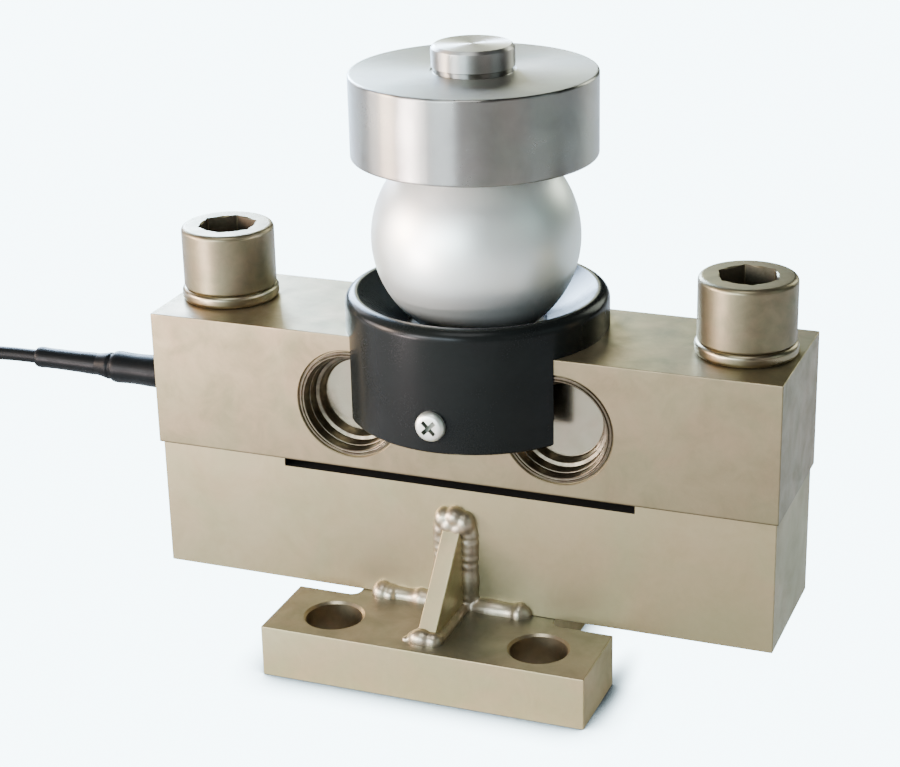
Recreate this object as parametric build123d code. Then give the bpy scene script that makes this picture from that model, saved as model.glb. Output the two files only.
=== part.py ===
from build123d import *
from math import atan2, degrees, pi, radians, sqrt, tan
import os

os.makedirs("parts", exist_ok=True)

# All sizes are millimetres. The ball's axis is Z, the beam lies along X, and Z 0 is the floor
# that the mounting plate stands on. The cable leaves the beam's left end, towards -X.

# How far a cut runs past the face that it opens
overcut = 1.0

# Mounting plate: two bars across the front and the rear, joined by a web under the base block
plate_length = 106.4
plate_depth = 114.0
plate_thickness = 17.0
plate_bar_width = 29.8
plate_web_width = 66.0
plate_notch_radius = 3.0
plate_edge_chamfer = 0.8
mount_hole_diameter = 18.0
mount_hole_end_inset = 19.0
mount_hole_edge_inset = 14.3

# Base block, with the shallow recess in its top that lets the beam bend
base_end_inset = 0.75
base_depth = 46.0
base_height = 43.3
base_edge_radius = 1.2
recess_screw_distance = 27.5
recess_depth = 3.1

# Beam
beam_length = 206.0
beam_depth = 49.0
beam_height = 44.5
beam_edge_radius = 1.4

# M20 socket head cap screws with spring lock washers
clamp_screw_end_inset = 17.0
clamp_thread_diameter = 20.0
clamp_screw_length = 80.0
clamp_head_diameter = 30.0
clamp_head_height = 20.0
clamp_head_edge_radius = 1.4
clamp_socket_across_flats = 17.0
clamp_socket_depth = 10.0
clamp_socket_turns = (8.0, 20.0)
clamp_tip_chamfer = 1.6
clamp_clearance_hole = 22.0
clamp_hole_spare_depth = 4.0
thread_clearance = 0.05
lock_washer_outer_diameter = 31.4
lock_washer_inner_diameter = 20.6
lock_washer_thickness = 4.3
lock_washer_edge_radius = 1.5
lock_washer_slit = 1.6
lock_washer_slit_tilt = 25.0

# Bearing ball between the seats in the beam and in the load cap
ball_diameter = 65.0
seat_radius = 33.5
beam_seat_depth = 3.9
cap_seat_depth = 6.5

# Load cap and its centring spigot
cap_diameter = 76.0
cap_height = 25.9
cap_edge_chamfer = 0.8
spigot_diameter = 25.4
spigot_height = 8.0
spigot_chamfer = 1.0
spigot_groove_height = 1.4
spigot_groove_depth = 0.5
spigot_relief_width = 0.4
spigot_relief_depth = 0.3

# Ball retainer: a turned ring with a dish, straddling the beam with two skirts
retainer_diameter = 82.8
retainer_rim_rise = 11.7
retainer_shoulder_radius = 3.5
retainer_skirt_drop = 28.0
retainer_bore_diameter = 43.0
retainer_dish_depth = 10.2
retainer_channel_clearance = 0.1
retainer_lower_chamfer = 0.8

# M5 pan head screws that hold the retainer, one in front and one behind
pin_screw_thread = 5.0
pin_screw_length = 25.0
pin_screw_drop = 19.0
pin_head_diameter = 9.4
pin_head_height = 2.6
pin_head_edge_radius = 1.5
pin_recess_span = 5.2
pin_recess_width = 1.2
pin_recess_depth = 1.6
pin_clearance_hole = 5.5
pin_spot_face_diameter = 11.0
pin_spot_face_depth = 0.4
pin_hole_spare_depth = 2.0

# Gauge pockets, two in front and two behind, with the shear web left between them
pocket_spacing = 68.4
pocket_rise = 21.7
shear_web_thickness = 9.0
cup_mouth_diameter = 31.4
cup_wall = 0.7
cup_rim_width = 1.6
cup_rim_clearance = 0.45
cup_rim_inset = 0.25
cup_rim_roll_depth = 1.4
cup_mouth_draw = 0.2
cup_upper_draw = 1.6
cup_step_depth = 6.0
cup_ledge_width = 1.2
cup_ledge_drop = 0.5
cup_lower_draw = 1.3
cup_depth = 9.4
cup_heel_width = 0.5
cup_heel_height = 0.9

# Strain gauges and wiring inside the pockets
gauge_width = 12.0
gauge_height = 9.0
gauge_thickness = 0.2
board_width = 11.0
board_height = 4.0
board_thickness = 1.2
board_drop = 9.0
board_pads = 4
pad_diameter = 1.9
pad_height = 0.2
wire_bundle_diameter = 1.4
wire_bore_diameter = 5.0
wire_bore_drop = 4.0
wire_bore_left_inset = 8.0
wire_bore_right_inset = 17.0
wire_stand_off = 3.3
wire_bend_radius = 1.2
wire_bore_overrun = 2.0
wire_bore_reach = 1.5
wire_start_run = 1.2
wire_start_drop = 2.0
wire_first_step = 1.0
wire_turn_back = 6.2
wire_turn_drop = 1.5
web_hole_diameter = 3.0
web_hole_offset = 10.5

# Cable entry in the beam's left end, between the screw's hole and the front face
entry_inset = 6.9
entry_rise = 21.7
cable_diameter = 4.6
cable_bore_diameter = 5.2
ferrule_diameter = 8.0
ferrule_socket_depth = 7.0
ferrule_projection = 16.0
entry_sleeve_diameter = 10.6
entry_sleeve_end_diameter = 10.0
entry_sleeve_length = 18.5
entry_sleeve_total_length = 24.5
cable_sleeve_diameter = 7.2
cable_sleeve_end_diameter = 6.7
cable_sleeve_reach = 47.7
cable_sleeve_edge = 0.4
entry_sleeve_edge = 0.8
entry_sleeve_edge_drop = 0.4
neck_groove_width = 0.7
neck_groove_depth = 0.9
neck_ridge_offset = 1.5
neck_ridge_depth = 0.7
neck_lip = 0.1
jacket_end_inset = 0.9

# Gussets and weld beads between the base block and the mounting plate
gusset_thickness = 6.0
gusset_height = 29.0
gusset_toe_setback = 7.0
gusset_top_width = 2.5
gusset_toe_height = 2.5
bead_leg = 4.7
bead_left_end = 28.5
bead_right_end = 24.5
bead_ripple = 0.35
bead_step = 5.0
upright_bead_leg = 4.6
cap_bead_radius = 5.6
toe_bead_radius = 4.6
foot_bead_leg = 2.6
spatter_radius = 1.6
spatter_offset = 5.7

# Cable beyond the sleeve: it drops from the sleeve to a tied coil on the floor
coil_mean_diameter = 62.0
coil_columns = 4
coil_layers = 6
coil_corner_radius = 1.4
coil_offset_x = -117.0
coil_offset_y = 22.8
tie_width = 3.6
tie_thickness = 1.0
tie_head_width = 5.6
tie_head_height = 6.0
tie_head_depth = 3.6
tie_angles = (40.0, 140.0, 240.0)
lead_run_out = 25.0
lead_run_in = 15.0
lead_route = (
    (-53.0, -2.2, 76.0),
    (-68.5, -5.5, 60.5),
    (-79.0, -11.0, 41.0),
)
lead_approach = 29.0
lead_approach_rise = 5.7
tail_drop = 19.0
tail_reach = 38.5
tail_sway = 4.0
core_diameter = 1.3
core_length = 28.0
core_offset = 0.75
core_gap = 0.2
core_fan = (-16.0, -5.0, 6.0, 17.0)

# Lengths, heights and depths that several pieces share
base_length = beam_length - 2 * base_end_inset
clamp_screw_spacing = beam_length - 2 * clamp_screw_end_inset
recess_length = clamp_screw_spacing - 2 * recess_screw_distance
base_bottom = plate_thickness
beam_bottom = base_bottom + base_height
beam_top = beam_bottom + beam_height
base_front = base_depth / 2
gusset_reach = plate_depth / 2 - gusset_toe_setback - base_front
beam_front = beam_depth / 2
ball_radius = ball_diameter / 2
ball_centre = beam_top - beam_seat_depth + ball_radius
cap_bottom = ball_centre + ball_radius - cap_seat_depth
cap_top = cap_bottom + cap_height
washer_top = beam_top + lock_washer_thickness
pin_height = beam_top - pin_screw_drop
pocket_height = beam_bottom + pocket_rise
gauge_face = shear_web_thickness / 2
pocket_diameter = cup_mouth_diameter + 2 * cup_wall
cup_rim_diameter = cup_mouth_diameter + 2 * cup_rim_width
cup_counterbore_diameter = cup_rim_diameter + 2 * cup_rim_clearance
cup_step_diameter = cup_mouth_diameter - 2 * cup_upper_draw
cup_ledge_diameter = cup_step_diameter - 2 * cup_ledge_width
cup_floor_diameter = cup_ledge_diameter - 2 * cup_lower_draw
clamp_places = (-clamp_screw_spacing / 2, clamp_screw_spacing / 2)
pocket_places = (-pocket_spacing / 2, pocket_spacing / 2)
entry_x = -beam_length / 2
entry_y = -(beam_front - entry_inset)
entry_z = beam_bottom + entry_rise
exit_x = entry_x - cable_sleeve_reach

# The coil's own frame
cable_radius = cable_diameter / 2
coil_width = coil_columns * cable_diameter
coil_height = coil_layers * cable_diameter
coil_outer_radius = coil_mean_diameter / 2 + coil_width / 2
outer_turn_radius = coil_outer_radius - cable_radius
coil_x = exit_x + coil_offset_x
coil_y = entry_y + coil_offset_y
coil_bottom = tie_thickness
coil_top = coil_bottom + coil_height


def along_y(radius, y_low, y_high, x, z):
    """A cylinder whose axis runs along Y."""
    middle = (y_low + y_high) / 2
    return Pos(x, middle, z) * Rot(90, 0, 0) * Cylinder(radius, y_high - y_low)


def along_x(radius, x_low, x_high, y, z):
    """A cylinder whose axis runs along X."""
    middle = (x_low + x_high) / 2
    return Pos(middle, y, z) * Rot(0, 90, 0) * Cylinder(radius, x_high - x_low)


def upright(radius, z_low, z_high, x=0.0, y=0.0):
    """A cylinder that stands along Z."""
    return Pos(x, y, (z_low + z_high) / 2) * Cylinder(radius, z_high - z_low)


def block(x_low, x_high, y_low, y_high, z_low, z_high):
    """A box between two corners."""
    centre = Pos((x_low + x_high) / 2, (y_low + y_high) / 2, (z_low + z_high) / 2)
    return centre * Box(x_high - x_low, y_high - y_low, z_high - z_low)


def turned(points, axis):
    """A solid of revolution from a closed outline of (x, y) points."""
    return revolve(make_face(Polyline(*points, close=True)), axis)


def behind(shape):
    """The same piece on the rear side of the beam."""
    return Rot(0, 0, 180) * shape


def route_radii(points):
    """The radius at each inner point: 0.45 of the shorter run over the tangent of half the turn."""
    radii = []
    for before, here, after in zip(points, points[1:], points[2:]):
        run_in = Vector(*here) - Vector(*before)
        run_out = Vector(*after) - Vector(*here)
        half_turn = radians(run_in.get_angle(run_out)) / 2
        radii.append(0.45 * min(run_in.length, run_out.length) / tan(half_turn))
    return radii


def tube(name, points, diameter):
    """A round tube along straight runs joined by tangent arcs."""
    radii = route_radii(points)
    path = FilletPolyline(*points, radius=radii)
    solid = sweep((path ^ 0) * Circle(diameter / 2), path=path)
    section = pi * diameter**2 / 4
    print(name, "radii", [round(r, 1) for r in radii], "length", round(path.length, 1))
    print(name, "volume", round(solid.volume, 1), "section times length", round(section * path.length, 1))
    return solid


def make_mounting_plate():
    half_length = plate_length / 2
    half_depth = plate_depth / 2
    half_web = plate_web_width / 2
    notch_edge = half_depth - plate_bar_width
    blank = block(-half_length, half_length, -half_depth, half_depth, 0, plate_thickness)
    for side in (-1, 1):
        notch_top = plate_thickness + overcut
        notch = block(half_web, half_length + overcut, -notch_edge, notch_edge, -overcut, notch_top)
        notch = fillet(notch.edges().filter_by(Axis.Z).group_by(Axis.X)[0], plate_notch_radius)
        blank -= Rot(0, 0, 90 - 90 * side) * notch
    outer_edges = blank.faces().sort_by(Axis.Z)[-1].outer_wire().edges()
    blank = chamfer(outer_edges, plate_edge_chamfer)
    hole_x = half_length - mount_hole_end_inset
    hole_y = half_depth - mount_hole_edge_inset
    for x in (-hole_x, hole_x):
        for y in (-hole_y, hole_y):
            blank -= upright(mount_hole_diameter / 2, -overcut, plate_thickness + overcut, x, y)
    return blank


def make_base_block():
    half = base_length / 2
    solid = block(-half, half, -base_front, base_front, base_bottom, beam_bottom)
    solid = fillet(solid.edges(), base_edge_radius)
    recess_half = recess_length / 2
    recess_floor = beam_bottom - recess_depth
    solid -= block(-recess_half, recess_half, -base_depth, base_depth, recess_floor, beam_bottom + overcut)
    tip = washer_top - clamp_screw_length
    for x in clamp_places:
        radius = clamp_thread_diameter / 2 + thread_clearance
        solid -= upright(radius, tip - clamp_hole_spare_depth, beam_bottom + overcut, x)
    return solid


def seat_ball(centre):
    """The sphere that cuts a ball seat, a little larger than the ball."""
    return Pos(0, 0, centre) * Sphere(seat_radius)


def wire_bore_ends():
    """Where the slanted wire bore meets the two front pockets, as points on its axis."""
    wall = sqrt((pocket_diameter / 2) ** 2 - wire_bore_drop**2)
    reach = pocket_spacing / 2 - wall
    height = pocket_height - wire_bore_drop
    left = (-reach, -beam_front + wire_bore_left_inset, height)
    right = (reach, -beam_front + wire_bore_right_inset, height)
    return left, right


def slanted_cylinder(radius, start, end, overrun):
    """A cylinder about the line from start to end, longer by overrun at each end."""
    line = Vector(*end) - Vector(*start)
    turn = degrees(atan2(line.Y, line.X))
    middle = (Vector(*start) + Vector(*end)) * 0.5
    body = Rot(0, 0, turn) * Rot(0, 90, 0) * Cylinder(radius, line.length + 2 * overrun)
    return Pos(middle.X, middle.Y, middle.Z) * body


def make_load_cell_beam():
    half = beam_length / 2
    solid = block(-half, half, -beam_front, beam_front, beam_bottom, beam_top)
    solid = fillet(solid.edges(), beam_edge_radius)
    for x in clamp_places:
        solid -= upright(clamp_clearance_hole / 2, beam_bottom - overcut, beam_top + overcut, x)
    rim_depth = cup_rim_inset + cup_wall
    for x in pocket_places:
        for side in (-1, 1):
            face = side * beam_front
            deep = sorted((side * gauge_face, face + side * overcut))
            shallow = sorted((side * (beam_front - rim_depth), face + side * overcut))
            solid -= along_y(pocket_diameter / 2, deep[0], deep[1], x, pocket_height)
            solid -= along_y(cup_counterbore_diameter / 2, shallow[0], shallow[1], x, pocket_height)
        outward = 1 if x > 0 else -1
        hole_x = x + outward * web_hole_offset
        solid -= along_y(web_hole_diameter / 2, -beam_front / 2, beam_front / 2, hole_x, pocket_height)
    left, right = wire_bore_ends()
    solid -= slanted_cylinder(wire_bore_diameter / 2, left, right, wire_bore_overrun)
    solid -= seat_ball(ball_centre - ball_radius + seat_radius)
    pin_depth = retainer_diameter / 2 - pin_spot_face_depth - pin_screw_length - pin_hole_spare_depth
    for side in (-1, 1):
        low, high = sorted((side * pin_depth, side * (beam_front + overcut)))
        radius = pin_screw_thread / 2 + thread_clearance
        solid -= along_y(radius, low, high, 0, pin_height)
    bore_end = -pocket_spacing / 2
    solid -= along_x(cable_bore_diameter / 2, entry_x - overcut, bore_end, entry_y, entry_z)
    socket_end = entry_x + ferrule_socket_depth
    solid -= along_x(ferrule_diameter / 2, entry_x - overcut, socket_end, entry_y, entry_z)
    return solid


def make_clamp_screw(x, socket_turn):
    head = upright(clamp_head_diameter / 2, washer_top, washer_top + clamp_head_height)
    head = fillet(head.edges().sort_by(Axis.Z)[-1], clamp_head_edge_radius)
    hexagon = RegularPolygon(clamp_socket_across_flats / 2, 6, major_radius=False, rotation=socket_turn)
    socket_floor = washer_top + clamp_head_height - clamp_socket_depth
    head -= Pos(0, 0, socket_floor) * extrude(hexagon, clamp_socket_depth + overcut)
    shank = upright(clamp_thread_diameter / 2, washer_top - clamp_screw_length, washer_top)
    shank = chamfer(shank.edges().sort_by(Axis.Z)[0], clamp_tip_chamfer)
    return Pos(x, 0, 0) * (head + shank)


def make_lock_washer(x):
    ring = upright(lock_washer_outer_diameter / 2, beam_top, washer_top)
    ring = fillet(ring.edges(), lock_washer_edge_radius)
    ring -= upright(lock_washer_inner_diameter / 2, beam_top - overcut, washer_top + overcut)
    slit = Box(lock_washer_slit, lock_washer_outer_diameter, 3 * lock_washer_thickness)
    slit = Pos(0, lock_washer_outer_diameter / 2, 0) * Rot(0, lock_washer_slit_tilt, 0) * slit
    middle = (beam_top + washer_top) / 2
    return Pos(x, 0, 0) * (ring - Pos(0, 0, middle) * slit)


def make_load_cap():
    radius = cap_diameter / 2
    spigot = spigot_diameter / 2
    groove = spigot - spigot_groove_depth
    top = cap_top + spigot_height
    outline = [
        (0, cap_bottom),
        (radius - cap_edge_chamfer, cap_bottom),
        (radius, cap_bottom + cap_edge_chamfer),
        (radius, cap_top - cap_edge_chamfer),
        (radius - cap_edge_chamfer, cap_top),
        (spigot + spigot_relief_width, cap_top),
        (spigot + spigot_relief_width, cap_top - spigot_relief_depth),
        (groove, cap_top - spigot_relief_depth),
        (groove, cap_top + spigot_groove_height),
        (spigot, cap_top + spigot_groove_height),
        (spigot, top - spigot_chamfer),
        (spigot - spigot_chamfer, top),
        (0, top),
    ]
    blank = Rot(90, 0, 0) * turned(outline, Axis.Y)
    return blank - seat_ball(ball_centre + ball_radius - seat_radius)


def make_ball_retainer():
    radius = retainer_diameter / 2
    rim = beam_top + retainer_rim_rise
    skirt_bottom = beam_top - retainer_skirt_drop
    land = radius - retainer_shoulder_radius
    bore = retainer_bore_diameter / 2
    dish_bottom = rim - retainer_dish_depth
    shoulder_top = (land, rim)
    shoulder_foot = (radius, rim - retainer_shoulder_radius)
    round_middle = retainer_shoulder_radius * (1 - sqrt(0.5))
    shoulder_middle = (radius - round_middle, rim - round_middle)
    lower = Polyline(
        (bore, dish_bottom),
        (bore, beam_top),
        (0, beam_top),
        (0, skirt_bottom),
        (radius - retainer_lower_chamfer, skirt_bottom),
        (radius, skirt_bottom + retainer_lower_chamfer),
        shoulder_foot,
    )
    shoulder = ThreePointArc(shoulder_foot, shoulder_middle, shoulder_top)
    dish = Line(shoulder_top, (bore, dish_bottom))
    profile = make_face(Curve() + [lower, shoulder, dish])
    solid = Rot(90, 0, 0) * revolve(profile, Axis.Y)
    half_channel = beam_front + retainer_channel_clearance
    reach = radius + overcut
    solid -= block(-reach, reach, -half_channel, half_channel, skirt_bottom - overcut, beam_top)
    solid -= along_y(pin_clearance_hole / 2, -reach, reach, 0, pin_height)
    for side in (-1, 1):
        low, high = sorted((side * (radius - pin_spot_face_depth), side * reach))
        solid -= along_y(pin_spot_face_diameter / 2, low, high, 0, pin_height)
    return solid


def make_retainer_screw():
    seat = -(retainer_diameter / 2 - pin_spot_face_depth)
    head = along_y(pin_head_diameter / 2, seat - pin_head_height, seat, 0, pin_height)
    head = fillet(head.edges().sort_by(Axis.Y)[0], pin_head_edge_radius)
    for angle in (45, 135):
        arm = Box(pin_recess_span, 2 * pin_recess_depth, pin_recess_width)
        head -= Pos(0, seat - pin_head_height, pin_height) * Rot(0, angle, 0) * arm
    return head + along_y(pin_screw_thread / 2, seat, seat + pin_screw_length, 0, pin_height)


def thickened(line, wall):
    """The same open line shifted sideways by one wall thickness, with mitred corners."""
    normals = []
    for here, after in zip(line, line[1:]):
        run = Vector(*after) - Vector(*here)
        normals.append(Vector(run.Y, -run.X).normalized())
    shifted = []
    for index, point in enumerate(line):
        before = normals[max(index - 1, 0)]
        after = normals[min(index, len(normals) - 1)]
        corner = Vector(*point) + (before + after) * (wall / (1 + before.dot(after)))
        shifted.append((corner.X, corner.Y))
    return shifted


def make_sealing_cup(x):
    """A pressed cup: its visible side as (radius, depth) points, and the same wall one thickness in."""
    shown = [
        (cup_rim_diameter / 2, cup_rim_inset),
        (cup_mouth_diameter / 2, cup_rim_inset),
        (cup_mouth_diameter / 2 - cup_mouth_draw, cup_rim_roll_depth),
        (cup_step_diameter / 2, cup_step_depth),
        (cup_ledge_diameter / 2, cup_step_depth + cup_ledge_drop),
        (cup_floor_diameter / 2 + cup_heel_width, cup_depth - cup_heel_height),
        (cup_floor_diameter / 2, cup_depth),
        (0, cup_depth),
    ]
    hidden = thickened(shown, cup_wall)
    outline = [(radius, depth - beam_front) for radius, depth in shown + hidden[::-1]]
    return Pos(x, 0, pocket_height) * turned(outline, Axis.Y)


def make_strain_gauge(x):
    low, high = -gauge_face - gauge_thickness, -gauge_face
    half = gauge_width / 2
    half_height = gauge_height / 2
    return block(x - half, x + half, low, high, pocket_height - half_height, pocket_height + half_height)


def terminal_board_place():
    return pocket_places[0], -gauge_face - board_thickness, pocket_height - board_drop


def pad_places():
    """The X of each solder pad on the board."""
    pitch = board_width / board_pads
    first = pocket_places[0] - pitch * (board_pads - 1) / 2
    return [first + pitch * index for index in range(board_pads)]


def make_terminal_board():
    x, front, z = terminal_board_place()
    half = board_width / 2
    board = block(x - half, x + half, front, -gauge_face, z - board_height / 2, z + board_height / 2)
    for place in pad_places():
        board += along_y(pad_diameter / 2, front - pad_height, front, place, z)
    return board


def jacket_end():
    """Where the cable's jacket stops, just inside the bore's mouth in the front left pocket."""
    return pocket_places[0] - pocket_diameter / 2 - jacket_end_inset


def make_inner_wires():
    """The cable's cores to the board, and the bundle from the board through the slanted bore."""
    front, board_z = terminal_board_place()[1:]
    land = front - pad_height
    radius = wire_bundle_diameter / 2
    left, right = (Vector(*point) for point in wire_bore_ends())
    along = (right - left).normalized() * wire_bore_reach
    into_bore = left + along
    out_of_bore = right + along
    behind_cup = -beam_front + cup_depth + cup_wall + 2 * wire_bundle_diameter
    wall_x = jacket_end() + jacket_end_inset + wire_start_run
    land_x = pad_places()[0]
    leave_x = pad_places()[-1]
    gauge_front = -gauge_face - gauge_thickness
    gauge_x = pocket_places[1] - gauge_width / 6
    gauge_z = pocket_height - gauge_height / 4
    to_board = [
        (jacket_end(), entry_y, entry_z),
        (wall_x, entry_y, entry_z),
        (wall_x + wire_first_step, behind_cup, entry_z - wire_start_drop),
        (land_x, land - wire_stand_off, board_z),
        (land_x, land, board_z),
    ]
    through = [
        (leave_x, land, board_z),
        (leave_x, land - wire_stand_off, board_z),
        (into_bore.X - wire_turn_back, behind_cup, into_bore.Z - wire_turn_drop),
        (into_bore.X, into_bore.Y, into_bore.Z),
        (out_of_bore.X, out_of_bore.Y, out_of_bore.Z),
        (gauge_x, gauge_front - wire_stand_off, gauge_z),
        (gauge_x, gauge_front, gauge_z),
    ]
    solids = []
    for points in (to_board, through):
        path = FilletPolyline(*points, radius=[wire_bend_radius] * (len(points) - 2))
        solids.append(sweep((path ^ 0) * Circle(radius), path=path))
    return solids


def cable_line(points):
    """A solid turned about the cable's axis where it leaves the beam."""
    return Pos(0, entry_y, entry_z) * turned(points, Axis.X)


def make_cable_ferrule():
    outer = ferrule_diameter / 2
    inner = cable_diameter / 2
    inside = entry_x + ferrule_socket_depth
    outside = entry_x - ferrule_projection
    return cable_line([(inside, inner), (inside, outer), (outside, outer), (outside, inner)])


def make_entry_sleeve():
    """The fat shrunk sleeve over the ferrule, with its drawn-in end round the thin sleeve."""
    shoulder = entry_x - entry_sleeve_length
    end = entry_x - entry_sleeve_total_length
    ferrule_end = entry_x - ferrule_projection
    thin = cable_sleeve_diameter / 2
    fat_end = entry_sleeve_end_diameter / 2
    outline = [
        (entry_x, ferrule_diameter / 2),
        (entry_x, entry_sleeve_diameter / 2),
        (shoulder + entry_sleeve_edge, fat_end),
        (shoulder, fat_end - entry_sleeve_edge_drop),
        (shoulder - neck_groove_width, fat_end - neck_groove_depth),
        (shoulder - neck_ridge_offset, fat_end - neck_ridge_depth),
        (end, thin + neck_lip),
        (end, thin),
        (ferrule_end, thin),
        (ferrule_end, ferrule_diameter / 2),
    ]
    return cable_line(outline)


def make_cable_sleeve():
    ferrule_end = entry_x - ferrule_projection
    neck = entry_x - entry_sleeve_total_length
    outline = [
        (ferrule_end, cable_diameter / 2),
        (ferrule_end, cable_sleeve_diameter / 2),
        (neck, cable_sleeve_diameter / 2),
        (exit_x + cable_sleeve_edge, cable_sleeve_end_diameter / 2),
        (exit_x, cable_sleeve_end_diameter / 2 - cable_sleeve_edge),
        (exit_x, cable_diameter / 2),
    ]
    return cable_line(outline)


def make_cable_entry():
    """The cable inside the sleeves, the ferrule and the beam's bore."""
    return along_x(cable_radius, exit_x, jacket_end(), entry_y, entry_z)


def make_gusset():
    side = [
        (base_front, base_bottom),
        (base_front, base_bottom + gusset_height),
        (base_front + gusset_top_width, base_bottom + gusset_height),
        (base_front + gusset_reach, base_bottom + gusset_toe_height),
        (base_front + gusset_reach, base_bottom),
    ]
    outline = make_face(Polyline(*[(-y, z) for y, z in side], close=True))
    return extrude(Plane.YZ * outline, gusset_thickness / 2, both=True)


def bead_row(start, end, core_radius, lump_radius, lump_step):
    """A run of weld metal: a straight core with a ripple of lumps along it."""
    line = Vector(*end) - Vector(*start)
    steps = max(1, round(line.length / lump_step))
    core = Plane(origin=start, z_dir=line) * Cylinder(
        core_radius, line.length, align=(Align.CENTER, Align.CENTER, Align.MIN)
    )
    lumps = []
    for index in range(steps + 1):
        place = Vector(*start) + line * (index / steps)
        lumps.append(Pos(place.X, place.Y, place.Z) * Sphere(lump_radius))
    return [core] + lumps


def make_weld_beads(gusset):
    """Fillet welds along the foot of the base block, up both sides of the gusset and round its toe."""
    half = gusset_thickness / 2
    front = -base_front
    toe = -(base_front + gusset_reach)
    weld_top = base_bottom + gusset_height
    foot_left = (-bead_left_end, front, base_bottom)
    foot_right = (bead_right_end, front, base_bottom)
    pieces = bead_row(foot_left, foot_right, bead_leg - bead_ripple, bead_leg, bead_step)
    for side in (-1, 1):
        low = (side * half, front, base_bottom)
        high = (side * half, front, weld_top)
        pieces += bead_row(low, high, upright_bead_leg - bead_ripple, upright_bead_leg, bead_step)
        foot_start = (side * half, front - bead_leg, base_bottom)
        foot_end = (side * half, toe, base_bottom)
        pieces += bead_row(foot_start, foot_end, foot_bead_leg - bead_ripple, foot_bead_leg, bead_step)
    pieces.append(Pos(0, front, weld_top) * Sphere(cap_bead_radius))
    pieces.append(Pos(0, toe, base_bottom) * Sphere(toe_bead_radius))
    pieces.append(Pos(-spatter_offset, toe, base_bottom) * Sphere(spatter_radius))
    beads = pieces[0] + pieces[1:]
    beads -= block(-base_length, base_length, front, base_depth, -base_height, beam_top)
    beads -= block(-base_length, base_length, -plate_depth, base_depth, -base_height, base_bottom)
    return beads - gusset


def lead_points():
    """The free cable from the sleeve's end to the coil's top outer turn."""
    turn_y = coil_y - outer_turn_radius
    turn_z = coil_top - cable_radius
    points = [(exit_x, entry_y, entry_z), (exit_x - lead_run_out, entry_y, entry_z)]
    points += [(exit_x + x, entry_y + y, z) for x, y, z in lead_route]
    points += [
        (coil_x + lead_approach, turn_y, turn_z + lead_approach_rise),
        (coil_x + lead_run_in, turn_y, turn_z),
        (coil_x, turn_y, turn_z),
    ]
    return points


def tail_points():
    """The cable's end, from the coil's bottom outer turn along the floor."""
    x = coil_x + outer_turn_radius
    start_z = coil_bottom + cable_radius
    return [
        (x, coil_y, start_z),
        (x, coil_y - tail_drop, start_z),
        (x + tail_sway, coil_y - tail_reach, cable_radius),
    ]


def coil_section(extra):
    """The coil's section where it stands, larger by extra all round."""
    outline = RectangleRounded(coil_width + 2 * extra, coil_height + 2 * extra, coil_corner_radius + extra)
    return Plane.XZ * Pos(coil_mean_diameter / 2, (coil_bottom + coil_top) / 2) * outline


def make_cable_coil():
    """The outer shape of the coil, notched where the lead comes onto it and the tail leaves it."""
    ring = revolve(coil_section(0), Axis.Z)
    side = coil_outer_radius + overcut
    inner_side = coil_outer_radius - cable_diameter
    ring -= block(0, side, -side, -inner_side, coil_top - cable_diameter, coil_top + overcut)
    ring -= block(inner_side, side, -side, 0, coil_bottom - overcut, coil_bottom + cable_diameter)
    return Pos(coil_x, coil_y, 0) * ring


def make_coil_ties():
    """Three straps round the coil's section, each with its locking head on the outside."""
    middle = (coil_bottom + coil_top) / 2
    span = degrees(tie_width / coil_outer_radius)
    strap = revolve(coil_section(tie_thickness) - coil_section(0), Axis.Z, revolution_arc=span)
    strap = Rot(0, 0, -span / 2) * strap
    face = coil_outer_radius + tie_thickness / 2
    end = coil_outer_radius + tie_thickness + tie_head_depth
    half = tie_head_width / 2
    head = block(face, end, -half, half, middle - tie_head_height / 2, middle + tie_head_height / 2)
    tie = strap + head
    return [Pos(coil_x, coil_y, 0) * Rot(0, 0, angle) * tie for angle in tie_angles]


def make_cable_cores():
    """Four bare-ended cores fanning out of the cable's end."""
    before, end = (Vector(*point) for point in tail_points()[-2:])
    heading = degrees(atan2(end.Y - before.Y, end.X - before.X))
    frame = Pos(end.X, end.Y, end.Z) * Rot(0, 0, heading)
    cores = []
    places = ((core_offset, -1), (core_offset, 1), (-core_offset, 1), (-core_offset, -1))
    for fan, (height, side) in zip(core_fan, ((p[0], p[1] * core_offset) for p in places)):
        core = Rot(0, 0, fan) * Rot(0, 90, 0) * Cylinder(
            core_diameter / 2, core_length, align=(Align.CENTER, Align.CENTER, Align.MIN)
        )
        cores.append(frame * Pos(core_gap, side, height) * core)
    return cores


def write(name, *solids):
    """One file per named piece; a piece of several like solids is a compound."""
    shape = solids[0] if len(solids) == 1 else Compound(children=list(solids))
    export_step(shape, os.path.join("parts", name + ".step"))


write("mounting_plate", make_mounting_plate())
write("base_block", make_base_block())
write("load_cell_beam", make_load_cell_beam())

write("clamp_screws", *[make_clamp_screw(x, turn) for x, turn in zip(clamp_places, clamp_socket_turns)])
write("lock_washers", *[make_lock_washer(x) for x in clamp_places])

write("bearing_ball", Pos(0, 0, ball_centre) * Sphere(ball_radius))
write("load_cap", make_load_cap())
write("ball_retainer", make_ball_retainer())
retainer_screw = make_retainer_screw()
write("retainer_screws", retainer_screw, behind(retainer_screw))

for side_name, x in zip(("left", "right"), pocket_places):
    write("sealing_cup_front_" + side_name, make_sealing_cup(x))
    write("sealing_cup_rear_" + side_name, behind(make_sealing_cup(-x)))
    write("strain_gauge_front_" + side_name, make_strain_gauge(x))
    write("strain_gauge_rear_" + side_name, behind(make_strain_gauge(-x)))
write("terminal_board", make_terminal_board())
write("inner_wires", *make_inner_wires())

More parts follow.
